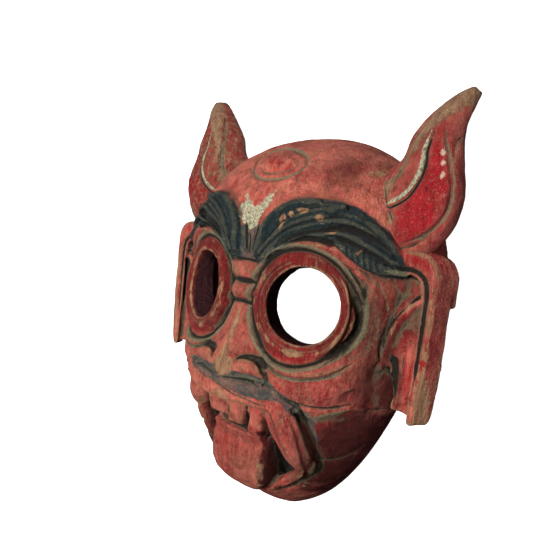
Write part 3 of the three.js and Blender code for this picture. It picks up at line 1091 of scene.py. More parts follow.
    def settled(self, n: Nodes, place, zone: dict, grime, colour) -> bpy.types.NodeSocket:
        """Lays varnish into the grooves of a colour, pale marks and painted sheen over it, and soot and
        painted shade into its grooves and hollows.
        """
        broken = n.plus(zone[Zone.OLIVE], n.swing(n.noise(place, 330, 5, 0.7), 0.9))
        unpainted = n.minus(0.60, n.times(zone[Zone.BLACK], 0.55), clamp=True)
        varnish = n.most(n.times(n.step(broken, 0.32, 0.70), 0.88),
                         n.times(grime.outputs["Varnish"], unpainted))
        flecked = n.mix(n.step(n.noise(place, 700, 4, 0.8), 0.50, 0.64), self.olive, self.cream)
        colour = n.mix(varnish, colour, n.mix(n.times(zone[Zone.OLIVE], 0.35), self.olive, flecked))
        # Pale marks: dust, painted white dots, and painted sheen on the forehead.
        pale_and_sheen = n.plus(zone[Zone.PALE], n.swing(n.noise(place, 420, 5, 0.7), 1.1))
        colour = n.mix(n.times(n.step(pale_and_sheen, 0.45, 0.9), 0.8), colour, self.dust_and_glint)
        # Soot and painted shade in the grooves and hollows.
        return n.mix(n.times(grime.outputs["Soot"], 0.95), colour, self.soot)

    def area(self, n: Nodes, effects: Effects, place, field, roughness: float, softness: float,
             chips: float) -> bpy.types.NodeSocket:
        """Returns the ragged mask of one painted zone."""
        return effects.use(n, Effect.RAGGED, Vector=place, Field=field, Roughness=roughness,
                           Softness=softness, Chips=chips).outputs["Mask"]

    def shade(self, n: Nodes, colour, place, grain, chipped) -> None:
        """Finishes the material with its gloss, its relief and its shader."""
        gloss = n.plus(0.18, n.times(chipped, 0.34))
        gloss = n.plus(gloss, n.times(n.noise(place, 300, 4, 0.7), 0.42))
        film = n.times(n.minus(1.0, chipped), 0.45)
        pits = n.times(n.noise(place, 620, 5, 0.80), 1.3)
        daubs = n.times(n.noise(n.stretched(place, (1, 0.6, 1)), 250, 4, 0.6), 1.2)
        relief = n.plus(n.plus(n.times(grain.outputs["Height"], 0.8), film), n.plus(pits, daubs))
        bump = n.add("ShaderNodeBump", {"Height": relief, "Strength": 1.0, "Distance": self.relief})
        shader = n.add("ShaderNodeBsdfPrincipled", {"Base Color": colour, "Roughness": gloss,
                                                    "Normal": bump.outputs[0]})
        shader.inputs["Specular IOR Level"].default_value = self.sheen
        sink = n.add("ShaderNodeOutputMaterial")
        n.tree.links.new(shader.outputs[0], sink.inputs[0])


@dataclass(frozen=True)
class StudioPaper:
    """Plain pale paper under the mask, lit through from below.

    Attributes:
        colour: Colour of the paper.
        seen: Strength of its own light where it is looked at.
        cast: Strength of the light that it throws on the mask.
    """

    colour: Colour = (0.30, 0.30, 0.30)
    seen: float = 1.1
    cast: float = 0.12

    def build(self) -> bpy.types.Material:
        """Makes the material."""
        material = bpy.data.materials.new("studio_paper")
        material.use_nodes = True
        shader = material.node_tree.nodes["Principled BSDF"]
        shader.inputs["Base Color"].default_value = (*self.colour, 1)
        shader.inputs["Roughness"].default_value = 0.9
        shader.inputs["Specular IOR Level"].default_value = 0.0
        shader.inputs["Emission Color"].default_value = WHITE
        n = Nodes(material.node_tree)
        looked_at = n.add("ShaderNodeLightPath").outputs["Is Camera Ray"]
        strength = n.add("ShaderNodeMapRange", {"Value": looked_at, "To Min": self.cast,
                                                "To Max": self.seen})
        n.tree.links.new(strength.outputs[0], shader.inputs["Emission Strength"])
        return material


# ---------------------------------------------------------------------------------------------
# The face
# ---------------------------------------------------------------------------------------------


@dataclass(frozen=True)
class EyeRing:
    """A turned collar around an eye hole, tilted with the side of the face."""

    x: float = 52.0
    z: float = 82.9
    hole: float = 27.6
    yaw: float = math.radians(19.5)
    pitch: float = math.radians(5.3)

    def pose(self) -> Matrix:
        """Returns the ring's place: its axis is Z before the pose."""
        turn = Matrix.Rotation(self.yaw, 4, "Y") @ Matrix.Rotation(-self.pitch, 4, "X")
        return Matrix.Translation((self.x, 0, self.z)) @ turn

    def circle(self, radius: float, height: float) -> tuple[tuple[float, ...], ...]:
        """Returns points of a circle around the hole."""
        pose = self.pose()
        level = [Vector((radius * math.cos(t), radius * math.sin(t), height)) for t in turns(RING_POINTS)]
        return tuple(tuple(pose @ point) for point in level)

    def around(self, gap: float) -> tuple[tuple[float, float], ...]:
        """Returns points of an oval that runs a gap outside the collar, seen from the front."""
        wide, high = 38.0 + gap, 40.2 + gap
        x, y = self.x - 3.2, -1.5
        return tuple((x + wide * math.cos(t), y + high * math.sin(t)) for t in turns(RING_POINTS))

    def build(self, name: str) -> bpy.types.Object:
        """Spins the collar's profile around the hole."""
        profile = [(24.0, -26), (25.5, -4), (self.hole, -0.8), (self.hole + 2.0, 0.2),
                   (self.hole + 3.4, -0.2), (self.hole + 4.2, 0.8), (33.6, 1.8), (35.8, 1.2), (37.6, -0.8),
                   (38.6, -4), (40.5, -26)]
        deselect_all()
        bpy.ops.mesh.primitive_circle_add(vertices=len(profile), radius=1.0)
        piece = name_active(name)
        write_points(piece, np.array([(r, 0.0, h) for r, h in profile]))
        bpy.ops.object.mode_set(mode="EDIT")
        bpy.ops.mesh.select_all(action="SELECT")
        bpy.ops.mesh.spin(steps=TURNED_STEPS, angle=2 * math.pi, center=(0, 0, 0), axis=(0, 0, 1))
        bpy.ops.object.mode_set(mode="OBJECT")
        recalculate_normals(piece)
        piece.data.transform(self.pose())
        return piece

    def bore(self, name: str) -> bpy.types.Object:
        """Models the hole itself, as a cutter."""
        deselect_all()
        bpy.ops.mesh.primitive_cone_add(vertices=TURNED_STEPS, radius1=self.hole - 2, radius2=self.hole,
                                        depth=62)
        piece = name_active(name)
        piece.data.transform(self.pose() @ Matrix.Translation((0, 0, -27)))
        return piece


@dataclass(frozen=True)
class Brow:
    """A brow of flame strands, from the bridge of the nose to the temple."""

    strands: tuple[tuple[tuple[float, float, float], ...], ...] = (
        ((10, 31, 3), (13, 44, 4.2), (18, 56, 4.8), (28, 66, 4.8), (40, 71, 3.8), (52, 73, 2.2)),
        ((13, 32, 2.8), (20, 45, 4.2), (30, 57, 5.2), (43, 65, 5.2), (56, 69, 4.2), (68, 71, 2.6)),
        ((15, 31, 2.8), (24, 42, 4.2), (36, 53, 5.2), (50, 59, 6.2), (66, 63, 6.6), (80, 60, 6.2),
         (92, 53, 5.2), (101, 44, 4.2), (106, 37, 2.8)),
        ((18, 28, 2.4), (29, 38, 3.2), (41, 46, 3.6), (52, 50, 4.2), (63, 52, 4.8), (75, 51, 5.2),
         (86, 46, 4.8), (96, 40, 4.2), (105, 34, 2.8)),
        ((66, 46, 3), (76, 42.5, 5), (86, 37, 6), (96, 33, 5.4), (105, 31, 2.8)),
    )
    rise: float = 5.5
    outline: tuple[tuple[float, float], ...] = (
        (7, 29), (7.5, 40), (10, 50), (14, 59), (23, 67.5), (35, 74), (49, 75.5), (63, 75), (75, 72),
        (86, 65), (96, 57), (103, 47), (108, 38), (110, 29), (106, 27), (97, 26.5), (88, 31.5), (80, 37),
        (71, 44.5), (61, 47), (50, 46.5), (40, 42.5), (29, 34.5), (20, 26), (13, 24))

    def build(self) -> list[bpy.types.Object]:
        """Models the strands of both brows."""
        pieces = []
        for number, strand in enumerate(self.strands):
            near = ridge(strand, self.rise, STRAND_DEPTH).build(f"brow_strand_{number}")
            pieces += [near, mirrored_copy(near)]
        return pieces

    def strokes(self) -> list[Stroke]:
        """Cuts the grooves between the strands, the fan over the nose and the hatching of the tail."""
        grooves = (
            ((13, 33), (21, 47), (30, 57.5), (41, 65), (51, 69.5), (61, 71)),
            ((16, 31), (25, 42.5), (36, 51.5), (47, 57.5), (58, 61.5), (68, 65), (78, 66)),
            ((18, 27), (27, 37), (37, 46), (48, 51), (60, 54), (72, 57), (84, 55), (95, 49), (104, 40)),
            ((64, 50), (74, 49.5), (84, 46), (94, 41), (104, 35)),
            ((60, 66), (72, 66.5), (84, 62), (94, 54), (101, 46)),
        )
        fan = (
            ((-7, 54), (-4.5, 43), (-2.5, 31)), ((-1, 47), (-0.5, 39), (0, 30)),
            ((7, 54), (4.5, 43), (2.5, 31)), ((12, 50), (8.5, 41), (6, 30)),
        )
        cuts = [Stroke(path, 1.9, -4.2, Edge.VEE, soot=1.0) for path in grooves]
        fans = [Stroke(path, 1.5, -2.8, soot=1.0, olive=0.6, mirrored=False) for path in fan]
        hairs = [Stroke(((x, y), (x + 1, y - 5), (x + 1.5, y - 9)), 0.75, -0.7, soot=0.3)
                 for x, y in ((78, 46), (81.5, 45.5), (85, 44), (88.5, 42), (92, 40), (95.5, 38))]
        edge = Stroke(((10, 50), (14, 60), (23, 69), (35, 75.5), (49, 77), (63, 76), (75, 73), (86, 66),
                       (96, 57.5), (104, 47)), 1.2, -0.5, olive=0.35)
        return [*cuts, *fans, *hairs, edge]


@dataclass(frozen=True)
class Nose:
    """A narrow ridge that flares to a wide tip, with two knobs across the bridge."""

    stations: tuple[tuple[float, float, float, float], ...] = (
        (30, 3, 8, 88), (8, 3, 11, 88), (-6, 2.6, 12, 90.5), (-18, 2.8, 15, 94), (-30, 3.2, 19, 98),
        (-41, 4.5, 22, 102.5), (-50, 6.5, 24, 106), (-55, 7, 22, 106.5), (-59, 5.5, 18, 100))
    buried: float = 66.0
    wing: tuple[tuple[float, ...], ...] = (
        (4, -54, 98, 6, 8), (13, -50.5, 98, 7.5, 8.5), (22, -49, 95, 7.8, 8.5), (29, -51.5, 92, 7, 7.5),
        (33, -56.5, 88.5, 4, 5.5))

    def build(self) -> list[bpy.types.Object]:
        """Models the ridge, the wings and the knobs."""
        rings = []
        for y, top, base, height in self.stations:
            foot = float(HEAD.height(base, y))
            rings.append(np.array([(x, y, z) for x, z in (
                (-base, self.buried), (base, self.buried), (base, foot), (top, height),
                (-top, height), (-base, foot))], dtype=float))
        wedge = loft("nose_wedge", rings)
        wing = Bar(self.wing).build("nose_wing")
        knobs = [Bar(((-14, y, 82, 4.5, 5), (-9, y, 86, w, 6.5), (0, y, 88, w + 0.4, 7), (9, y, 86, w, 6.5),
                      (14, y, 82, 4.5, 5))).build("bridge_knob") for y, w in ((18.2, 6.4), (2.6, 6.0))]
        return [wedge, wing, mirrored_copy(wing), *knobs]

    def strokes(self) -> list[Stroke]:
        """Cuts the arches over the wings and the lines of the bridge, with painted shadow beside the wings
        and under the nose.
        """
        arch = ((9.5, -49), (12.7, -43.8), (18, -41.6), (26, -42), (32, -45.5), (35.2, -51.5), (37.5, -60))
        side = ((11, -8), (16, -18), (22, -28), (29, -37))
        across = [Stroke(((-13, y), (0, y + 0.5), (13, y)), 1.5, -2.0, soot=0.95, olive=0.5, mirrored=False)
                  for y in (26.2, 10.4, -5.6)]
        return [Stroke(arch, 1.3, -3.0, soot=0.75, olive=0.7), Stroke(side, 1.8, -1.2, soot=0.2, olive=0.5),
                # Painted shadow in the pocket beside the wing and under the nose.
                Stroke(((35, -57, 88), (39, -61.5, 88)), 2.8, -5, soot=1.1, tapered=False),
                Stroke(((2, -59.5), (14, -58), (25, -57.6), (35, -60)), 1.3, -2.2, soot=1.0),
                Stroke(((13, -47), (20, -46), (29, -47.5)), 2.2, -0.4, soot=0.25), *across]


@dataclass(frozen=True)
class Mouth:
    """Thick lips, three leaning teeth and a broad tongue."""

    upper: tuple[tuple[float, ...], ...] = (
        (-52, -71, 80, 7.5, 8), (-42, -68, 87, 8, 8.5), (-28, -67, 93.5, 8.3, 9), (-14, -67, 98, 8.5, 9),
        (0, -67, 99.5, 8.5, 9), (14, -67, 98, 8.5, 9), (28, -67.3, 93.5, 8.3, 9), (42, -69, 87, 8, 8.5),
        (50, -73, 80, 6, 7))
    leaf: tuple[tuple[float, ...], ...] = (
        (42, -71, 86, 9, 8.5), (45, -82, 84, 11.5, 9.5), (48.1, -94, 78, 11.4, 9.5),
        (50.4, -107, 70, 9.8, 9.5), (52.4, -116, 63, 7.2, 8.5), (53, -121.5, 58, 4.5, 7))
    inner_leaf: tuple[tuple[float, ...], ...] = (
        (37, -74, 84, 4, 7), (38, -84, 83, 5, 8), (41, -96, 77, 5, 8), (45, -108, 69, 3.5, 7))
    far_leaf: tuple[tuple[float, ...], ...] = (
        (-38, -70, 86, 7, 8), (-42, -79, 84, 9.5, 9), (-44, -88, 81, 9.5, 9), (-44, -95, 77, 6, 7))
    lower: tuple[tuple[float, ...], ...] = (
        (54.5, -114, 60, 4, 7), (54, -123, 56, 5, 8), (48.5, -129.5, 53, 5, 8.5), (40.5, -136, 51, 5, 8.5),
        (34, -141, 51, 5, 8.5), (27, -147, 53, 4.8, 8), (18.5, -153, 55, 3.6, 6))
    far_lower: tuple[tuple[float, ...], ...] = (
        (-49, -92, 72, 4, 7), (-54, -104, 66, 4.5, 8), (-55, -118, 58, 5, 8), (-50, -135, 50, 6, 8.5),
        (-38, -145, 48, 6, 8.5), (-26, -149, 51, 6, 8))
    tongue: tuple[tuple[float, float, float, float], ...] = (
        (-98.5, 1, 27.5, 73), (-100.5, 1, 28.8, 76.2), (-104, 0.8, 29.5, 78), (-115, -0.3, 29.5, 79.5),
        (-126, -1.0, 29.2, 80), (-137, -1.5, 28.2, 78.5), (-146, -1.8, 26.0, 74.5),
        (-152, -2.2, 21.5, 69.5), (-156, -2.5, 15.5, 65), (-158.5, -2.5, 8, 60))
    teeth: tuple[tuple[float, ...], ...] = (
        (-12.6, -15, 11.8, 10, 25, 97, 89), (9.2, 2.9, 9.6, 8.0, 28.5, 97, 88.5),
        (27.9, 20.2, 8.1, 6.8, 32.5, 94, 86))

    def build(self) -> list[bpy.types.Object]:
        """Models the lips, the teeth and the tongue."""
        lips = {"upper_lip": self.upper, "lip_leaf": self.leaf, "lip_inner_leaf": self.inner_leaf,
                "lip_far_leaf": self.far_leaf, "lower_lip": self.lower, "lower_lip_far": self.far_lower}
        pieces = [Bar(stations, section=LIP_SECTION if name == "upper_lip" else None).build(name)
                  for name, stations in lips.items()]
        return [*pieces, *(self.tooth(*tooth) for tooth in self.teeth), self.tongue_slab()]

    @staticmethod
    def tooth(top_x: float, end_x: float, top_half: float, end_half: float, length: float, top: float,
              end: float) -> bpy.types.Object:
        """Models a tooth that narrows to its biting edge.

        Args:
            top_x: Middle of its root.
            end_x: Middle of its edge.
            top_half: Half its width at the root.
            end_half: Half its width at the edge.
            length: Its length below the lip.
            top: Height of its front at the root.
            end: Height of its front at the edge.

        Returns:
            The tooth.
        """
        rings = []
        for t in (0.0, 0.35, 0.7, 0.93, 1.0):
            x, w = top_x + (end_x - top_x) * t, top_half + (end_half - top_half) * t
            y, z = -70 - length * t, top + (end - top) * t - (1.5 if t == 1 else 0)
            rings.append(np.array([(x - w, y, 64), (x + w, y, 64), (x + w, y, z - 2.5),
                                   (x + w - 1.2, y, z - 0.6), (x + w - 3, y, z), (x - w + 3, y, z),
                                   (x - w + 1.2, y, z - 0.6), (x - w, y, z - 2.5)]))
        return loft("tooth", rings)

    def tongue_slab(self) -> bpy.types.Object:
        """Models the tongue: slightly domed, with rounded edges."""
        rings = []
        for y, middle, half, top in self.tongue:
            rings.append(np.array([(middle + x * half, y, top + z) for x, z in (
                (-1, -38), (1, -38), (1, -8), (0.985, -3.5), (0.93, -1.1), (0.8, 0), (0.4, 0.9), (0, 1.2),
                (-0.4, 0.9), (-0.8, 0), (-0.93, -1.1), (-0.985, -3.5), (-1, -8))]))
        return loft("tongue", rings)

    @staticmethod
    def cutters() -> list[bpy.types.Object]:
        """Models the space behind the teeth and the openings beside the tongue, as cutters."""
        slabs = [
            slab("mouth_recess", [(-33, -76), (34, -76), (38, -104), (-38, -104)], 68, 130),
            slab("mouth_opening", [(27, -98), (38, -100), (49, -118), (46, -132), (38, -141), (24, -143)],
                 10, 130),
            slab("mouth_opening_far", [(-27, -97), (-42, -93), (-50, -106), (-50, -122), (-44, -136),
                                       (-24, -143)], 10, 130),
        ]
        for pocket in slabs[1:]:
            wall = HEAD.block("mouth_wall", HEAD.wall, HOLLOW_FLOOR)
            wall.data.transform(Matrix.Translation((0, 0, MOUTH_FLOOR)))
            cut_away(pocket, wall)
        return slabs

    @staticmethod
    def strokes() -> list[Stroke]:
        """Cuts the creases around the lips and the gaps between the teeth."""
        fold = ((45, -60), (52.5, -65.3), (57, -70.5), (58.2, -79), (59.4, -91.7), (60, -103.6),
                (59.4, -115), (57.3, -125), (51, -134), (40, -144), (28.5, -152), (14, -160))
        return [
            Stroke(fold, 1.2, -2.2, soot=0.85, olive=0.6),
            Stroke(((55, -71), (58, -77.4), (62, -80.3), (67.5, -79), (74, -75.4), (82, -70.4)), 2.1, 1.0,
                   olive=0.95),
            Stroke(((50, -64), (57, -68.4), (63, -70.2), (70, -71), (76, -70), (83, -66.5)), 1.4, -2.2,
                   soot=0.4, olive=0.4),
            Stroke(((-34, -61), (-19, -64), (-7, -63.8), (7, -67), (16, -69.7), (26, -71), (35, -73.4),
                    (44, -73.5)), 1.3, -1.6, soot=0.45, olive=0.4, mirrored=False),
            Stroke(((-50, -70), (-28, -67.5), (0, -67), (28, -68), (42, -70.5)), 1.4, -0.7, soot=0.15,
                   mirrored=False),
            Stroke(((-40, -76, 92), (-26, -77.5, 98), (0, -77, 102), (28, -78, 96), (41, -78, 92)), 1.3,
                   -2.0, soot=0.7, mirrored=False),
            Stroke(((40, -75), (44, -83), (46.5, -92), (48.5, -101), (51.5, -111)), 1.3, -1.5, soot=0.6,
                   olive=0.35, mirrored=False),
            Stroke(((60, -113, 62), (54, -121, 66), (48, -124, 62)), 1.5, -2.4, soot=0.6),
            # Soot and painted shade in the gaps between the teeth.
            *(Stroke(gap, 1.5, -2.4, soot=1.1, mirrored=False) for gap in (
                ((-0.6, -84), (-2.6, -91), (-5.2, -98)), ((19.3, -85), (16, -93), (12, -102)),
                ((-25, -79), (-25.2, -88), (-25.4, -97)), ((36.5, -86), (33, -95), (28, -106)))),
            Stroke(((47, -131, 60), (40, -139, 58), (32, -143, 59), (24, -145, 60)), 1.4, -0.8, olive=0.3),
        ]


@dataclass(frozen=True)
class Ear:
    """A long ear: a flat panel, a raised rail and the arch of the helix."""

    back: float = 34.0
    lean: float = 0.045

    def build(self) -> list[bpy.types.Object]:
        """Models both ears."""
        bend = smooth_path([(100, 45), (122, 47), (132, 43.5), (137.5, 34), (138.5, 20)], 4)
        inner = smooth_path([(128, 10), (127.5, 20), (124, 28), (116, 33), (100, 33)], 4)
        foot = [(138, -30), (136.3, -60), (135.2, -66), (133, -69.6), (130.5, -70.6), (128.6, -69.4),
                (127.6, -66), (127.4, -60), (127.6, -30)]
        rail = slab("ear_rail", [*map(tuple, bend), *foot, *map(tuple, inner)], self.back, self.back + 13,
                    self.lean)
        panel = slab("ear_panel", [(90, 40), (122, 42), (132, 28), (132, -60), (123, -66.5), (106, -65),
                                   (100, -30), (94, -8), (84, -2)], self.back, self.back + 6.5)
        arch = smooth_path([(100, 44), (121, 46.5), (133, 43.5), (139, 34), (139.6, 26)], 4)
        helix = slab("ear_helix", [*map(tuple, arch), (139.6, 13), (138, 11.5), (128, 12), (124, 28),
                                   (100, 34)], self.back - 6, self.back + 12, self.lean)
        fold = Bar(((121, 14, 38, 3, 5), (112, 8, 39, 4.5, 6.5), (104, -3, 40, 5, 7), (99, -17, 39, 4.5, 6),
                    (97, -28, 37, 3, 4))).build("ear_fold")
        pieces = [rail, panel, helix, fold]
        return pieces + [mirrored_copy(piece) for piece in pieces]

    @staticmethod
    def strokes() -> list[Stroke]:
        """Cuts the dark line inside the rail, the crease of the cup and the gap behind the jaw, with
        painted shadow in the gap.
        """
        inside = ((100, 36), (107, 35), (114, 34), (120, 31.5), (123.8, 27), (125.4, 19), (125.6, 6),
                  (125.3, -12), (125, -32), (124.5, -52))
        return [
            Stroke(inside, 1.8, -2.4, Edge.FLAT, soot=1.1),
            Stroke(inside[3:8], 4.2, -0.4, soot=0.6, olive=0.6),
            Stroke(((100, 32), (108, 31), (115, 28.5), (119.5, 23)), 2.6, -0.8, soot=0.25, olive=0.8),
            Stroke(((122, 20), (115.2, 14.6), (108.4, 5.6), (102, -6.8), (98, -20.7), (96.6, -34)), 1.2,
                   -2.4, soot=0.95),
            Stroke(((112, 16), (104.5, 7), (99, -4), (95.5, -18)), 1.6, 0.8, olive=0.45),
            Stroke(((112, -24), (111, -42), (110, -63)), 1.6, -1.0, soot=0.45),
            # Painted shadow in the gap between the cheek and the ear panel.
            Stroke(((102, -27), (105, -33), (106, -44), (105, -62)), 3.4, -3.0, Edge.FLAT, soot=1.2),
            Stroke(((98.5, -38), (100, -50), (99, -66)), 3.6, -1.2, soot=1.0),
            Stroke(((127, -24, 48), (132, -26, 48), (137, -25, 46)), 1.3, -1.4, soot=0.6, mirrored=False),
        ]


@dataclass(frozen=True)
class MaskBody:
    """The face and ears, carved from one block and hollowed from behind."""

    eye: EyeRing = EyeRing()
    brow: Brow = Brow()
    nose: Nose = Nose()
    mouth: Mouth = Mouth()
    ear: Ear = Ear()
    voxel: float = 1.1
    triangles: int = 196000
    bore_margin: float = 0.7
    bore_lip: float = 3.0
    third_eye: tuple[tuple[float, float], ...] = (
        (-21, 92), (-27, 100), (-30, 108), (-21, 113.5), (-3, 113), (14, 108.5), (24, 101), (22, 93.5),
        (12, 88), (-7, 86.5))
    third_eye_inner: tuple[tuple[float, float], ...] = (
        (-14, 95), (-16, 103), (-8, 107), (7, 106), (17, 102), (17, 97), (8, 93), (-5, 91.5))
    cream_patch: tuple[tuple[float, float], ...] = (
        (-17, 78), (-10, 71), (-2, 65), (4, 68), (8, 75), (14, 78), (14, 71), (8, 62), (5, 52), (-1, 48),
        (-8, 52), (-14, 58), (-18, 64), (-13, 70))

    def build(self, finish: bpy.types.Material, face: FaceFrame) -> bpy.types.Object:
        """Models, carves, paints and places the mask.

        Args:
            finish: The material of the whole piece.
            face: Where the face lies in the frame.

        Returns:
            The finished piece.
        """
        piece = self.rough_out()
        self.carve_face(piece)
        thin_out(piece, self.triangles)
        self.paint(piece)
        face.place_piece(piece, finish)
        return piece

    def rough_out(self) -> bpy.types.Object:
        """Joins the block and its features, and cuts the holes."""
        block = HEAD.block("mask_block")
        for cutter in self.mouth.cutters():
            cut_away(block, cutter)
        ring = self.eye.build("eye_ring")
        parts = [block, ring, mirrored_copy(ring), *self.brow.build(), *self.nose.build(),
                 *self.mouth.build(), *self.ear.build(), *self.forehead(), *self.folds()]
        piece = join_pieces("carved_mask", parts)
        fuse(piece, self.voxel, 2)
        bore = self.eye.bore("eye_bore")
        for cutter in (HEAD.block("hollow", HEAD.wall, HOLLOW_FLOOR), mirrored_copy(bore), bore):
            cut_away(piece, cutter)
        fuse(piece, self.voxel, 2)
        return piece

    def forehead(self) -> list[bpy.types.Object]:
        """Models the third eye."""
        tilt = math.atan2(float(HEAD.height(0, 87) - HEAD.height(0, 116)), 29.0)
        return [ellipsoid("third_eye", (-3, 100, float(HEAD.height(0, 100)) - 3), (21, 12, 5.5), -tilt)]

    def folds(self) -> list[bpy.types.Object]:
        """Models the lids over the eyes and the pouches under them."""
        lid = ((11, 17, 2.4), (19, 29, 2.8), (31, 38, 2.8), (46, 43, 2.6), (60, 43.8, 2.6), (73, 39.5, 3),
               (82, 32, 3.4, 0.6), (90, 21, 4, 2), (95, 8, 4.5, 4))
        pouch = ((16, -27, 2.4), (27, -38, 3.2), (43, -45, 3.6), (61, -46, 3.6), (77, -41, 4, 0.8),
                 (89, -31, 5, 4))
        pieces = []
        for name, stations, rise in (("lid", lid, 2.6), ("pouch", pouch, 1.6)):
            near = ridge(stations, rise, LID_DEPTH).build(name)
            pieces += [near, mirrored_copy(near)]
        return pieces

    def outer(self, points: np.ndarray) -> np.ndarray:
        """Returns which vertices belong to the face and not to the hollow."""
        return points[:, 2] > HEAD.hollow_height(points[:, 0], points[:, 1]) + SKIN

    def strokes(self) -> list[Stroke]:
        """Returns every stroke on the face."""
        return [
            *self.swells(), *self.brow.strokes(), *self.nose.strokes(),
            *self.mouth.strokes(), *self.ear.strokes(),
            Stroke(self.eye.around(0.4), 1.5, -2.4, soot=0.85, olive=0.5, closed=True),
            Stroke(self.eye.around(3.2), 1.7, 0.3, olive=0.85, closed=True),
            # Painted shade in the valley outside each ring.
            Stroke(((72, -38), (81, -27), (87, -11), (88.3, 4), (86, 18), (79, 30)), 3.0, -1.6, soot=0.9),
            Stroke(self.eye.circle(31.6, 0.6), 1.1, -0.7, soot=0.5, closed=True),
            Stroke(((14, 23), (24, 33.5), (35.7, 41.5), (47, 46), (59, 47.2), (69.5, 45), (77, 40.5)), 1.7,
                   -3.0, soot=1.05),
            Stroke(((84, 32), (90, 26), (95, 18)), 1.6, -0.8, soot=0.4, olive=0.4),
            Stroke(((23, -34), (30, -42), (43, -49.5), (61, -50), (77, -45), (87, -35)), 1.6, -1.5,
                   soot=0.15, olive=0.85),
            Stroke(((55, -116, 54), (62, -118, 41), (70, -114, 27), (79, -101, 13)), 1.5, -2.2, soot=0.7,
                   olive=0.5),
            Stroke(((41, -145, 46), (49, -146, 31), (57, -142, 14)), 1.5, -2.0, soot=0.7, olive=0.5),
            Stroke(((22, -161.5, 42), (38, -159, 27), (45, -155.5, 16)), 1.4, -1.8, soot=0.7, olive=0.4),
            Stroke(((96, -34), (94, -46), (91, -62), (87, -76)), 2.4, -1.8, soot=0.5),
            Stroke(self.third_eye, 1.5, -1.9, soot=0.1, olive=0.85, mirrored=False, closed=True),
            Stroke(self.third_eye_inner, 1.1, -1.1, soot=0.2, olive=0.4, mirrored=False, closed=True),
        ]

    @staticmethod
    def swells() -> list[Stroke]:
        """Raises the cheeks and lowers the valleys beside the eyes and under the cheeks."""
        return [
            Stroke(((83, -40), (88, -30), (93.5, -16), (95, -1), (93, 11.5), (88.5, 23)), 5.0, -1.8,
                   olive=0.46),
            Stroke(((95, 24), (99.5, 12), (100.5, 3)), 1.4, -0.9, soot=0.3, olive=0.4),
            Stroke(((101, 27), (104.8, 16), (102.5, 0), (98.5, -14)), 1.5, -0.9, soot=0.3, olive=0.4),
            Stroke(((42, -56), (56, -60), (70, -59), (84, -53)), 7.5, 2.4),
            Stroke(((52, -78), (62, -82), (76, -81), (90, -74)), 6.0, -2.4, soot=0.15),
            Stroke(((56, -74), (64, -77.5), (74, -77)), 2.4, 0.0, olive=0.55, mirrored=False),
        ]

    def carve_face(self, piece: bpy.types.Object) -> None:
        """Carves the strokes and the marks of the tools."""
        free = self.outer(read_points(piece))
        carve(piece, self.strokes(), free)
        points = read_points(piece)
        marks = 0.4 * undulation(points, 24, 3) + 0.22 * undulation(points, 8, 5)
        above = np.clip(points[:, 2] / 6, 0, 1)
        inside = ~free & (points[:, 2] > 2)
        gouged = 0.7 * np.abs(undulation(points * (1, 0.45, 1), 12, 8)) * inside
        push_out(piece, (marks - gouged) * above)

    def paint(self, piece: bpy.types.Object) -> None:
        """Records where each colour and the painted shade lie."""
        points = read_points(piece)
        sides = points.copy()
        sides[:, 0] = np.abs(sides[:, 0])
        outer = self.outer(points) & ~self.in_bore(sides)
        black = inside_distance(sides, list(self.brow.outline))
        lip = inside_distance(points, [(-47, -57), (-16, -52), (2, -53), (16, -52.5), (28, -53), (40, -56),
                                       (48, -59.5), (56, -66), (58.5, -72), (53, -70.5), (48, -67.5),
                                       (37, -69.5), (25, -69), (11, -66.5), (-8, -63), (-36, -62.5)])
        rim = inside_distance(sides, [(52, -62), (58, -68), (61.5, -79), (62.5, -92), (62.5, -108),
                                      (61, -112), (60, -99), (58, -86), (54, -76), (50, -68)])
        lip = np.where(points[:, 2] > 58, np.maximum(lip, rim), -9)
        lip = np.maximum(lip, inside_distance(points, [(-11, 50), (-5, 53), (5, 53), (11, 50), (9, 36),
                                                       (8, 27), (-8, 27), (-9, 36)]))
        values = {
            Zone.BLACK: zone_value(black),
            Zone.GREY: zone_value(lip),
            Zone.CREAM: zone_value(inside_distance(points, list(self.cream_patch))),
            # Soot and painted shade along the strokes, and painted shade in the mouth.
            Zone.SOOT: np.maximum(stroke_paint(piece, self.strokes(), "soot"), self.throat(points)),
            Zone.OLIVE: stroke_paint(piece, self.strokes(), "olive"),
            Zone.BARE: self.bare(points),
            Zone.FRESH: self.fresh(points),
            # Pale marks on the forehead: dust, and painted sheen where the light falls brightest.
            Zone.PALE: 0.55 * self.blobs(points, ((-3, 100, 14, 7, 0.7), (28, 84, 20, 8, 0.6),
                                                  (0, 72, 16, 8, 0.5))),
        }
        values = {zone: np.where(outer, value, 0) for zone, value in values.items()}
        form = form_values(piece)
        tongue_edge = (sides[:, 0] < 33) & (np.abs(points[:, 1] + 103) < 7) & (points[:, 2] > 64)
        form[Zone.CAVITY] = np.where(tongue_edge, np.maximum(form[Zone.CAVITY], 0.5), form[Zone.CAVITY])
        write_zones(piece, {**values, Zone.SMOKE: self.smoke(piece, points, sides),
                            Zone.HOLLOW: 1.0 - outer.astype(float), **form})

    def in_bore(self, sides: np.ndarray) -> np.ndarray:
        """Returns which vertices line an eye hole, below its lip."""
        pose = np.array(self.eye.pose().inverted())
        local = sides @ pose[:3, :3].T + pose[:3, 3]
        radius = np.hypot(local[:, 0], local[:, 1])
        return (radius < self.eye.hole + self.bore_margin) & (local[:, 2] < -self.bore_lip)

    @staticmethod
    def throat(points: np.ndarray) -> np.ndarray:
        """Returns the painted shade of the mouth, darker the deeper it sinks behind the teeth and beside
        the tongue.
        """
        x, y = np.abs(points[:, 0]), points[:, 1]
        sunk = HEAD.height(x, y) - points[:, 2]
        return 1.3 * np.clip((sunk - 4) / 4, 0, 1) * ((x < 52) & (y < -76) & (y > -144))

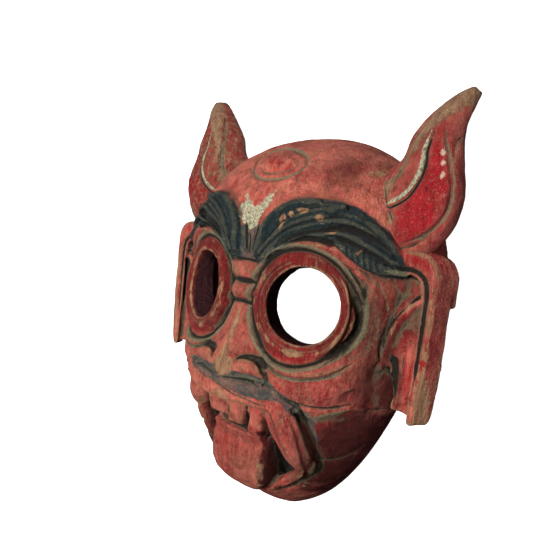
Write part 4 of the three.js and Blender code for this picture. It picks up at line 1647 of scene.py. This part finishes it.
    @staticmethod
    def blobs(points: np.ndarray, spots: tuple[tuple[float, ...], ...]) -> np.ndarray:
        """Returns soft oval spots, each given as x, y, half width, half height and strength."""
        total = np.zeros(len(points))
        for x, y, w, h, strength in spots:
            gap = np.hypot((points[:, 0] - x) / w, (points[:, 1] - y) / h)
            total = np.maximum(total, strength * np.clip(1.3 - 0.8 * gap, 0, 1))
        return total

    def bare(self, points: np.ndarray) -> np.ndarray:
        """Returns where the paint has gone down to the wood."""
        spots = ((1, -24, 2.6, 18, 0.75), (1, -46, 4, 13, 0.85), (3, -51, 10, 7, 0.95),
                 (52, -33, 12, 4, 0.6), (30, 57, 3, 7, 0.75), (36, 63, 3, 3, 0.7), (44, 66, 6, 2.5, 0.75),
                 (57, 62, 3, 2.4, 0.95), (66, 54, 6, 2.5, 0.65), (131, -52, 4, 19, 0.85),
                 (-131, -55, 4, 14, 0.6), (73, 98, 7, 5, 0.55), (85, 43, 1.2, 3.5, 0.7),
                 (20, 20, 4, 5, 0.55), (53, -22, 9, 3, 0.55), (-40, -30, 6, 5, 0.5))
        return self.blobs(points, spots) * (points[:, 2] > 30)

    def fresh(self, points: np.ndarray) -> np.ndarray:
        """Returns where the crimson is thick: on the ears, the rings and the near cheek."""
        spots = ((122, 40, 16, 10, 0.8), (130, 10, 9, 24, 0.7), (-125, 20, 14, 40, 0.5),
                 (114, -4, 12, 16, 0.7), (66, -58, 24, 9, 0.65), (70, -88, 16, 12, 0.7),
                 (24, 92, 16, 6, 0.25), (118, -45, 8, 18, 0.75), (128, -20, 6, 34, 0.7),
                 (48, -92, 8, 14, 0.6), (8, -4, 8, 6, 0.6), (-20, -130, 16, 20, 0.3), (-3, 100, 9, 5, 0.6),
                 (92, 44, 14, 10, 0.3), (60, -150, 30, 12, 0.3), (50, -95, 14, 26, 0.5))
        ring = np.hypot(np.abs(points[:, 0]) - 50, points[:, 1]) / 39
        return np.maximum(self.blobs(points, spots), 0.85 * np.clip((1.06 - ring) * 8, 0, 1))

    def smoke(self, piece: bpy.types.Object, points: np.ndarray, sides: np.ndarray) -> np.ndarray:
        """Returns where the paint is darkened: painted shade on the jaw, chin, sides and sockets and in
        gaps, with smoke, a stain and the dark wood of the eye holes.

        Args:
            piece: The carved mesh.
            points: Its vertices as rows of x, y, z.
            sides: The same with x made positive.

        Returns:
            The darkness at each vertex, from 0 to 1.
        """
        x, y, z = sides.T
        facing = np.abs(read_normals(piece)[:, 0])
        # Painted shade: the near jaw and the side of the cheek, turned from the light, the underside of the
        # chin, and the sides of the ear rail.
        jaw = 1.55 * np.clip((75 - z) / 28, 0, 1) * np.clip((-64 - y) / 26, 0, 1)
        jaw = jaw * np.clip((x - 30) / 20, 0, 1)
        cheek = 0.80 * np.clip((x - 80) / 12, 0, 1) * np.clip((34 - y) / 30, 0, 1)
        cheek = cheek * np.clip((76 - z) / 18, 0, 1) * np.clip((112 - x) / 8, 0, 1)
        chin = 0.5 * np.clip((-146 - y) / 12, 0, 1) * (x < 60)
        rail = 0.35 * (x > 124) * np.clip((facing - 0.5) * 3, 0, 1)
        # A stain on the crown.
        crown = 0.62 * np.exp(-(((points[:, 0] - 55) / 12) ** 2 + ((y - 97) / 14) ** 2) ** 1.5)
        # Painted shade around the eye sockets; the eye rings' own darker crimson.
        socket = np.hypot((x - 52) / 46, (y - 2) / 45)
        lids = 0.30 * np.clip(1.4 - socket, 0, 1) / 0.4 * (z > 40)
        ring = np.where(socket < 0.86, 0.60 - 0.25 * np.clip((-y - 24) / 8, 0, 1), 0)
        # The tongue a little darker all over, with painted shade on its sides.
        tongue = (x < 33) & (y < -98) & (z > 56)
        tongue_side = np.where(tongue, 0.22 + 0.85 * np.clip((facing - 0.25) * 4, 0, 1), 0)
        # Painted shade in the valley outside the ring and in the gap before the ear.
        trough = 1.1 * np.clip(1.2 - np.abs(np.hypot((x - 49) / 39, y / 41.5) - 1.03) / 0.11, 0, 1)
        trough = trough * np.clip((x - 68) / 12, 0, 1)
        gap = 0.8 * np.clip((14 - np.hypot((x - 104) / 1.0, (y + 46) / 2.2)) / 8, 0, 1)
        # The walls of the eye holes take the dark wood of the hollow.
        bore = np.where(self.in_bore(sides), 1.0, 0.0)
        layers = [jaw, cheek, chin, rail, crown, np.minimum(lids, 0.30), ring, trough, tongue_side, gap,
                  bore]
        return np.clip(np.maximum.reduce(layers), 0, 1)


# ---------------------------------------------------------------------------------------------
# The horns
# ---------------------------------------------------------------------------------------------


@dataclass(frozen=True)
class Horn:
    """A leaf-shaped horn that leans back to its tip.

    Attributes:
        stations: Rows of inner x, y, outer x, y, height of the back and height of the front.
        section: Its outline: position from the inner edge to the outer one, and from back to front.
        back_tilt: How far the back rises from its middle to its outer edge.
        voxel: Size of the remeshed faces.
    """

    stations: tuple[tuple[float, ...], ...] = (
        (64, 97, 108.5, 37.5, 22, 49), (72, 104, 116, 44, 21, 50), (79, 108, 123.5, 51, 21, 50),
        (84, 116, 132, 66, 21, 49), (86.5, 126, 135.5, 85, 21, 46), (92, 134, 132, 105, 21, 42),
        (99, 142, 128.5, 122, 20, 38), (107, 150, 127.5, 135, 18, 33), (116, 157, 129.5, 147, 15, 28),
        (124, 161, 131, 156, 12.5, 22))
    section: tuple[tuple[float, float], ...] = (
        (-1.0, 0.16), (-0.92, 0.38), (-0.72, 0.63), (-0.4, 0.86), (0.0, 0.98), (0.4, 1.0), (0.72, 0.9),
        (0.92, 0.66), (1.0, 0.34), (0.98, 0.1), (0.85, 0.0), (0.3, -0.03), (-0.3, -0.02), (-0.85, 0.02))
    back_tilt: float = 6.5
    voxel: float = 0.85

    def rings(self) -> list[np.ndarray]:
        """Returns the horn's sections from root to tip."""
        outline = smooth_path(list(self.section), 2, closed=True)[:-1]
        rings = []
        for x0, y0, x1, y1, back, front in smooth_path(list(self.stations), 3):
            middle = np.array([(x0 + x1) / 2, (y0 + y1) / 2, 0])
            half = np.array([(x1 - x0) / 2, (y1 - y0) / 2, 0])
            low = back + self.back_tilt * outline[:, 0] * (front - back) / 29
            height = low + outline[:, 1] * (front - low)
            rings.append(middle + np.outer(outline[:, 0], half) + np.outer(height, (0, 0, 1)))
        return rings

    def build(self, name: str, side: int, finish: bpy.types.Material, face: FaceFrame) -> bpy.types.Object:
        """Models, carves, paints and places one horn.

        Args:
            name: Name of the piece.
            side: 1 for the viewer's right, -1 for the left.
            finish: The horn's material.
            face: Where the face lies in the frame.

        Returns:
            The finished piece.
        """
        piece = loft(name, self.rings())
        fuse(piece, self.voxel, 4)
        carve(piece, self.strokes(), read_normals(piece)[:, 2] > 0)
        points = read_points(piece)
        marks = 0.3 * undulation(points, 18, 11 + side) + 0.2 * undulation(points, 6, 15 + side)
        push_out(piece, marks)
        self.paint(piece, side)
        if side < 0:
            piece.data.transform(Matrix.Scale(-1, 4, (1, 0, 0)))
            recalculate_normals(piece)
        thin_out(piece, HORN_TRIANGLES)
        face.place_piece(piece, finish)
        return piece

    @staticmethod
    def strokes() -> list[Stroke]:
        """Cuts the lines of the horn's panel and of its edges."""
        return [
            Stroke(((118, 132), (122, 119), (128, 104), (131.5, 90), (131, 76), (125, 64), (115, 56),
                    (103, 50)), 1.5, -2.2, Edge.VEE, soot=0.55, olive=0.8),
            Stroke(((112, 127), (110.5, 115), (112, 103), (110, 92), (104, 82), (95, 76), (85, 72)),
                   1.3, -1.8, soot=0.9),
            Stroke(((110, 128), (108.5, 116), (109.5, 104), (107.5, 94), (102, 85), (93, 79), (84, 75)),
                   1.5, 0.9),
            Stroke(((105, 143), (99, 132), (95, 120), (93, 108), (89, 98), (82, 90)), 1.6, -1.8, soot=0.5,
                   olive=0.6),
            Stroke(((121, 112), (124, 98), (123, 84)), 7.0, -1.4),
            Stroke(((127.5, 124), (127.5, 116), (128.5, 108)), 1.2, -1.0, soot=0.6, olive=0.4),
            Stroke(((96, 64), (88, 76), (82, 88)), 1.2, -1.2, soot=0.6),
            Stroke(((100, 47), (110, 50), (121, 58)), 1.3, -1.4, soot=0.7),
        ]

    def paint(self, piece: bpy.types.Object, side: int) -> None:
        """Records where each colour and the painted shade lie on a horn, before it is turned to its side.
        """
        points = read_points(piece)
        x, y, z = points.T
        front = np.clip(read_normals(piece)[:, 2] * 4, 0, 1)
        soot, olive = (stroke_paint(piece, self.strokes(), kind) for kind in ("soot", "olive"))
        index, strength = self.strokes()[2].reach(points)
        cream = np.zeros(len(points))
        cream[index] = strength
        dots = MaskBody.blobs(points, ((121, 113, 1.7, 2.6, 1), (122.5, 106, 1.8, 2.2, 1),
                                       (124, 98, 1.6, 3.2, 1)))
        root = MaskBody.blobs(points, ((83, 88, 8, 10, 0.6), (92, 66, 6, 8, 0.6), (84, 74, 6, 6, 0.7)))
        panel = inside_distance(points, [(116, 130), (121, 118), (127, 104), (130, 90), (129, 76),
                                         (123, 65), (110, 56), (100, 58), (98, 72), (107, 84), (113, 95),
                                         (114, 112)])
        edge = inside_distance(points, [(74, 70), (82, 92), (90, 110), (97, 128), (105, 146), (118, 160),
                                        (136, 168), (137, 150), (122, 138), (111, 127), (101, 112),
                                        (96, 98), (89, 84), (83, 70)])
        outer = np.clip((x - 128) / 5, 0, 1) * (y < 128)
        worn = np.full(len(points), 0.44 * (side < 0))
        write_zones(piece, {
            Zone.CREAM: 1.2 * cream * front,
            Zone.SOOT: soot * front,
            Zone.OLIVE: olive * front,
            Zone.BARE: np.maximum.reduce([0.78 * zone_value(edge), root, worn]),
            Zone.FRESH: 1.1 * zone_value(panel) * (panel > -5) * front,
            Zone.PALE: dots * (side > 0),
            # Painted shade: darker along the outer edge, and over all of the left horn.
            Zone.SMOKE: np.maximum(0.35 * outer, 0.28 * (side < 0)),
            **form_values(piece),
        })


# ---------------------------------------------------------------------------------------------
# The studio
# ---------------------------------------------------------------------------------------------


@dataclass(frozen=True)
class Studio:
    """Floor, light and camera, in carver's millimetres and degrees but for the lamp and the floor.

    Attributes:
        azimuth: How far the camera stands round to the viewer's right of the face.
        elevation: How far it stands above the eye line, toward the crown.
        roll: Its turn about its own axis.
        distance: From the camera to the point that it looks at.
        aim: The point that it looks at.
        lens: Focal length over a sensor 36 mm wide, in millimetres.
        lamp_aim: The point that the lamp faces.
        lamp_direction: From that point toward the lamp.
        lamp_distance: How far away the lamp is, in metres along that direction.
        lamp_size: Side of the square lamp, in metres.
        lamp_power: Its power in watts.
        surroundings: Strength of the white light from all around.
        floor_size: Side of the floor, in metres.
    """

    azimuth: float = 41.2
    elevation: float = 6.27
    roll: float = 6.2
    distance: float = 520.0
    aim: tuple[float, float, float] = (-30.2, 5.2, 14.7)
    lens: float = 38.45
    lamp_aim: tuple[float, float, float] = (0, -10, 40)
    lamp_direction: tuple[float, float, float] = (0.10, 0.17, 0.98)
    lamp_distance: float = 1.25
    lamp_size: float = 0.42
    lamp_power: float = 51.0
    surroundings: float = 0.25
    floor_size: float = 8.0

    def direction(self) -> Vector:
        """Returns the unit vector from the aim to the camera."""
        az, el = math.radians(self.azimuth), math.radians(self.elevation)
        return Vector((math.sin(az) * math.cos(el), math.sin(el), math.cos(az) * math.cos(el)))

    def add_camera(self, face: FaceFrame) -> None:
        """Adds the camera and makes it the scene's own."""
        data = bpy.data.cameras.new("camera")
        data.sensor_width = 36.0
        data.lens = self.lens
        data.clip_start = 0.01
        camera = bpy.data.objects.new("camera", data)
        bpy.context.scene.collection.objects.link(camera)
        back = self.direction()
        right = Vector((0, 1, 0)).cross(back).normalized()
        up = back.cross(right)
        turn = math.radians(self.roll)
        rolled_right = right * math.cos(turn) + up * math.sin(turn)
        rolled_up = up * math.cos(turn) - right * math.sin(turn)
        spin = Matrix((rolled_right, rolled_up, back)).transposed().to_4x4()
        place = face.place(tuple(Vector(self.aim) + back * self.distance))
        camera.matrix_world = Matrix.Translation(place) @ spin
        bpy.context.scene.camera = camera

    def add_floor(self) -> None:
        """Adds the paper floor."""
        deselect_all()
        bpy.ops.mesh.primitive_plane_add(size=self.floor_size)
        floor = name_active("floor")
        floor.data.materials.append(StudioPaper().build())
        floor.visible_glossy = False
        floor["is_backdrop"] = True

    @staticmethod
    def add_softbox(name: str, place: Vector, target: Vector, size: float, power: float) -> None:
        """Adds one square area light that faces a target."""
        data = bpy.data.lights.new(name, "AREA")
        data.shape = "SQUARE"
        data.size = size
        data.energy = power
        lamp = bpy.data.objects.new(name, data)
        bpy.context.scene.collection.objects.link(lamp)
        aim = (target - place).to_track_quat("-Z", "Y").to_matrix().to_4x4()
        lamp.matrix_world = Matrix.Translation(place) @ aim

    def add_lights(self, face: FaceFrame) -> None:
        """Adds the lights and the pale surroundings."""
        target = face.place(self.lamp_aim)
        key = target + Vector(self.lamp_direction) * self.lamp_distance
        self.add_softbox("key", key, target, self.lamp_size, self.lamp_power)
        world = bpy.data.worlds.new("studio")
        world.use_nodes = True
        world.node_tree.nodes["Background"].inputs["Color"].default_value = WHITE
        world.node_tree.nodes["Background"].inputs["Strength"].default_value = self.surroundings
        world.cycles_visibility.glossy = False
        bpy.context.scene.world = world

    def build(self, face: FaceFrame) -> None:
        """Sets up the studio."""
        self.add_camera(face)
        self.add_floor()
        self.add_lights(face)
        bpy.context.scene.view_settings.view_transform = "Standard"


def adopt(piece: bpy.types.Object, node: str, box: tuple[Vector, Vector]) -> None:
    """Trims a finished piece to the overall box and ties it to the frame in place of its node.

    Args:
        piece: The piece, in metres in the frame.
        node: The solid that it stands for.
        box: Lowest and highest corner of all solids.
    """
    low, high = (np.array(corner) for corner in box)
    write_points(piece, np.clip(read_points(piece), low + TRIM, high - TRIM))
    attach(piece, ROOT_BODY)
    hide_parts(node)
    LOG.info("%s: %d vertices, replaces %s", piece.name, len(piece.data.vertices), node)


def main() -> None:
    """Builds the studio and the mask."""
    logging.basicConfig(level=logging.INFO, format="%(name)s %(message)s")
    cad_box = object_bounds()
    low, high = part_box("mask_body")
    face = FaceFrame.from_block(low, high, HEAD.length, HEAD.crown)
    Studio().build(face)
    effects = Effects()
    face_paint = PaintedWood("painted_face").build(effects)
    horn_paint = PaintedWood("painted_horn", fresh=(0.25, 0.007, 0.012), faded=(0.27, 0.070, 0.050),
                             bare=(0.21, 0.125, 0.070), wear=0.52).build(effects)
    adopt(MaskBody().build(face_paint, face), "mask_body", cad_box)
    adopt(Horn().build("carved_horn_right", 1, horn_paint, face), "right_horn", cad_box)
    adopt(Horn().build("carved_horn_left", -1, horn_paint, face), "left_horn", cad_box)


if __name__ == "__main__":
    main()
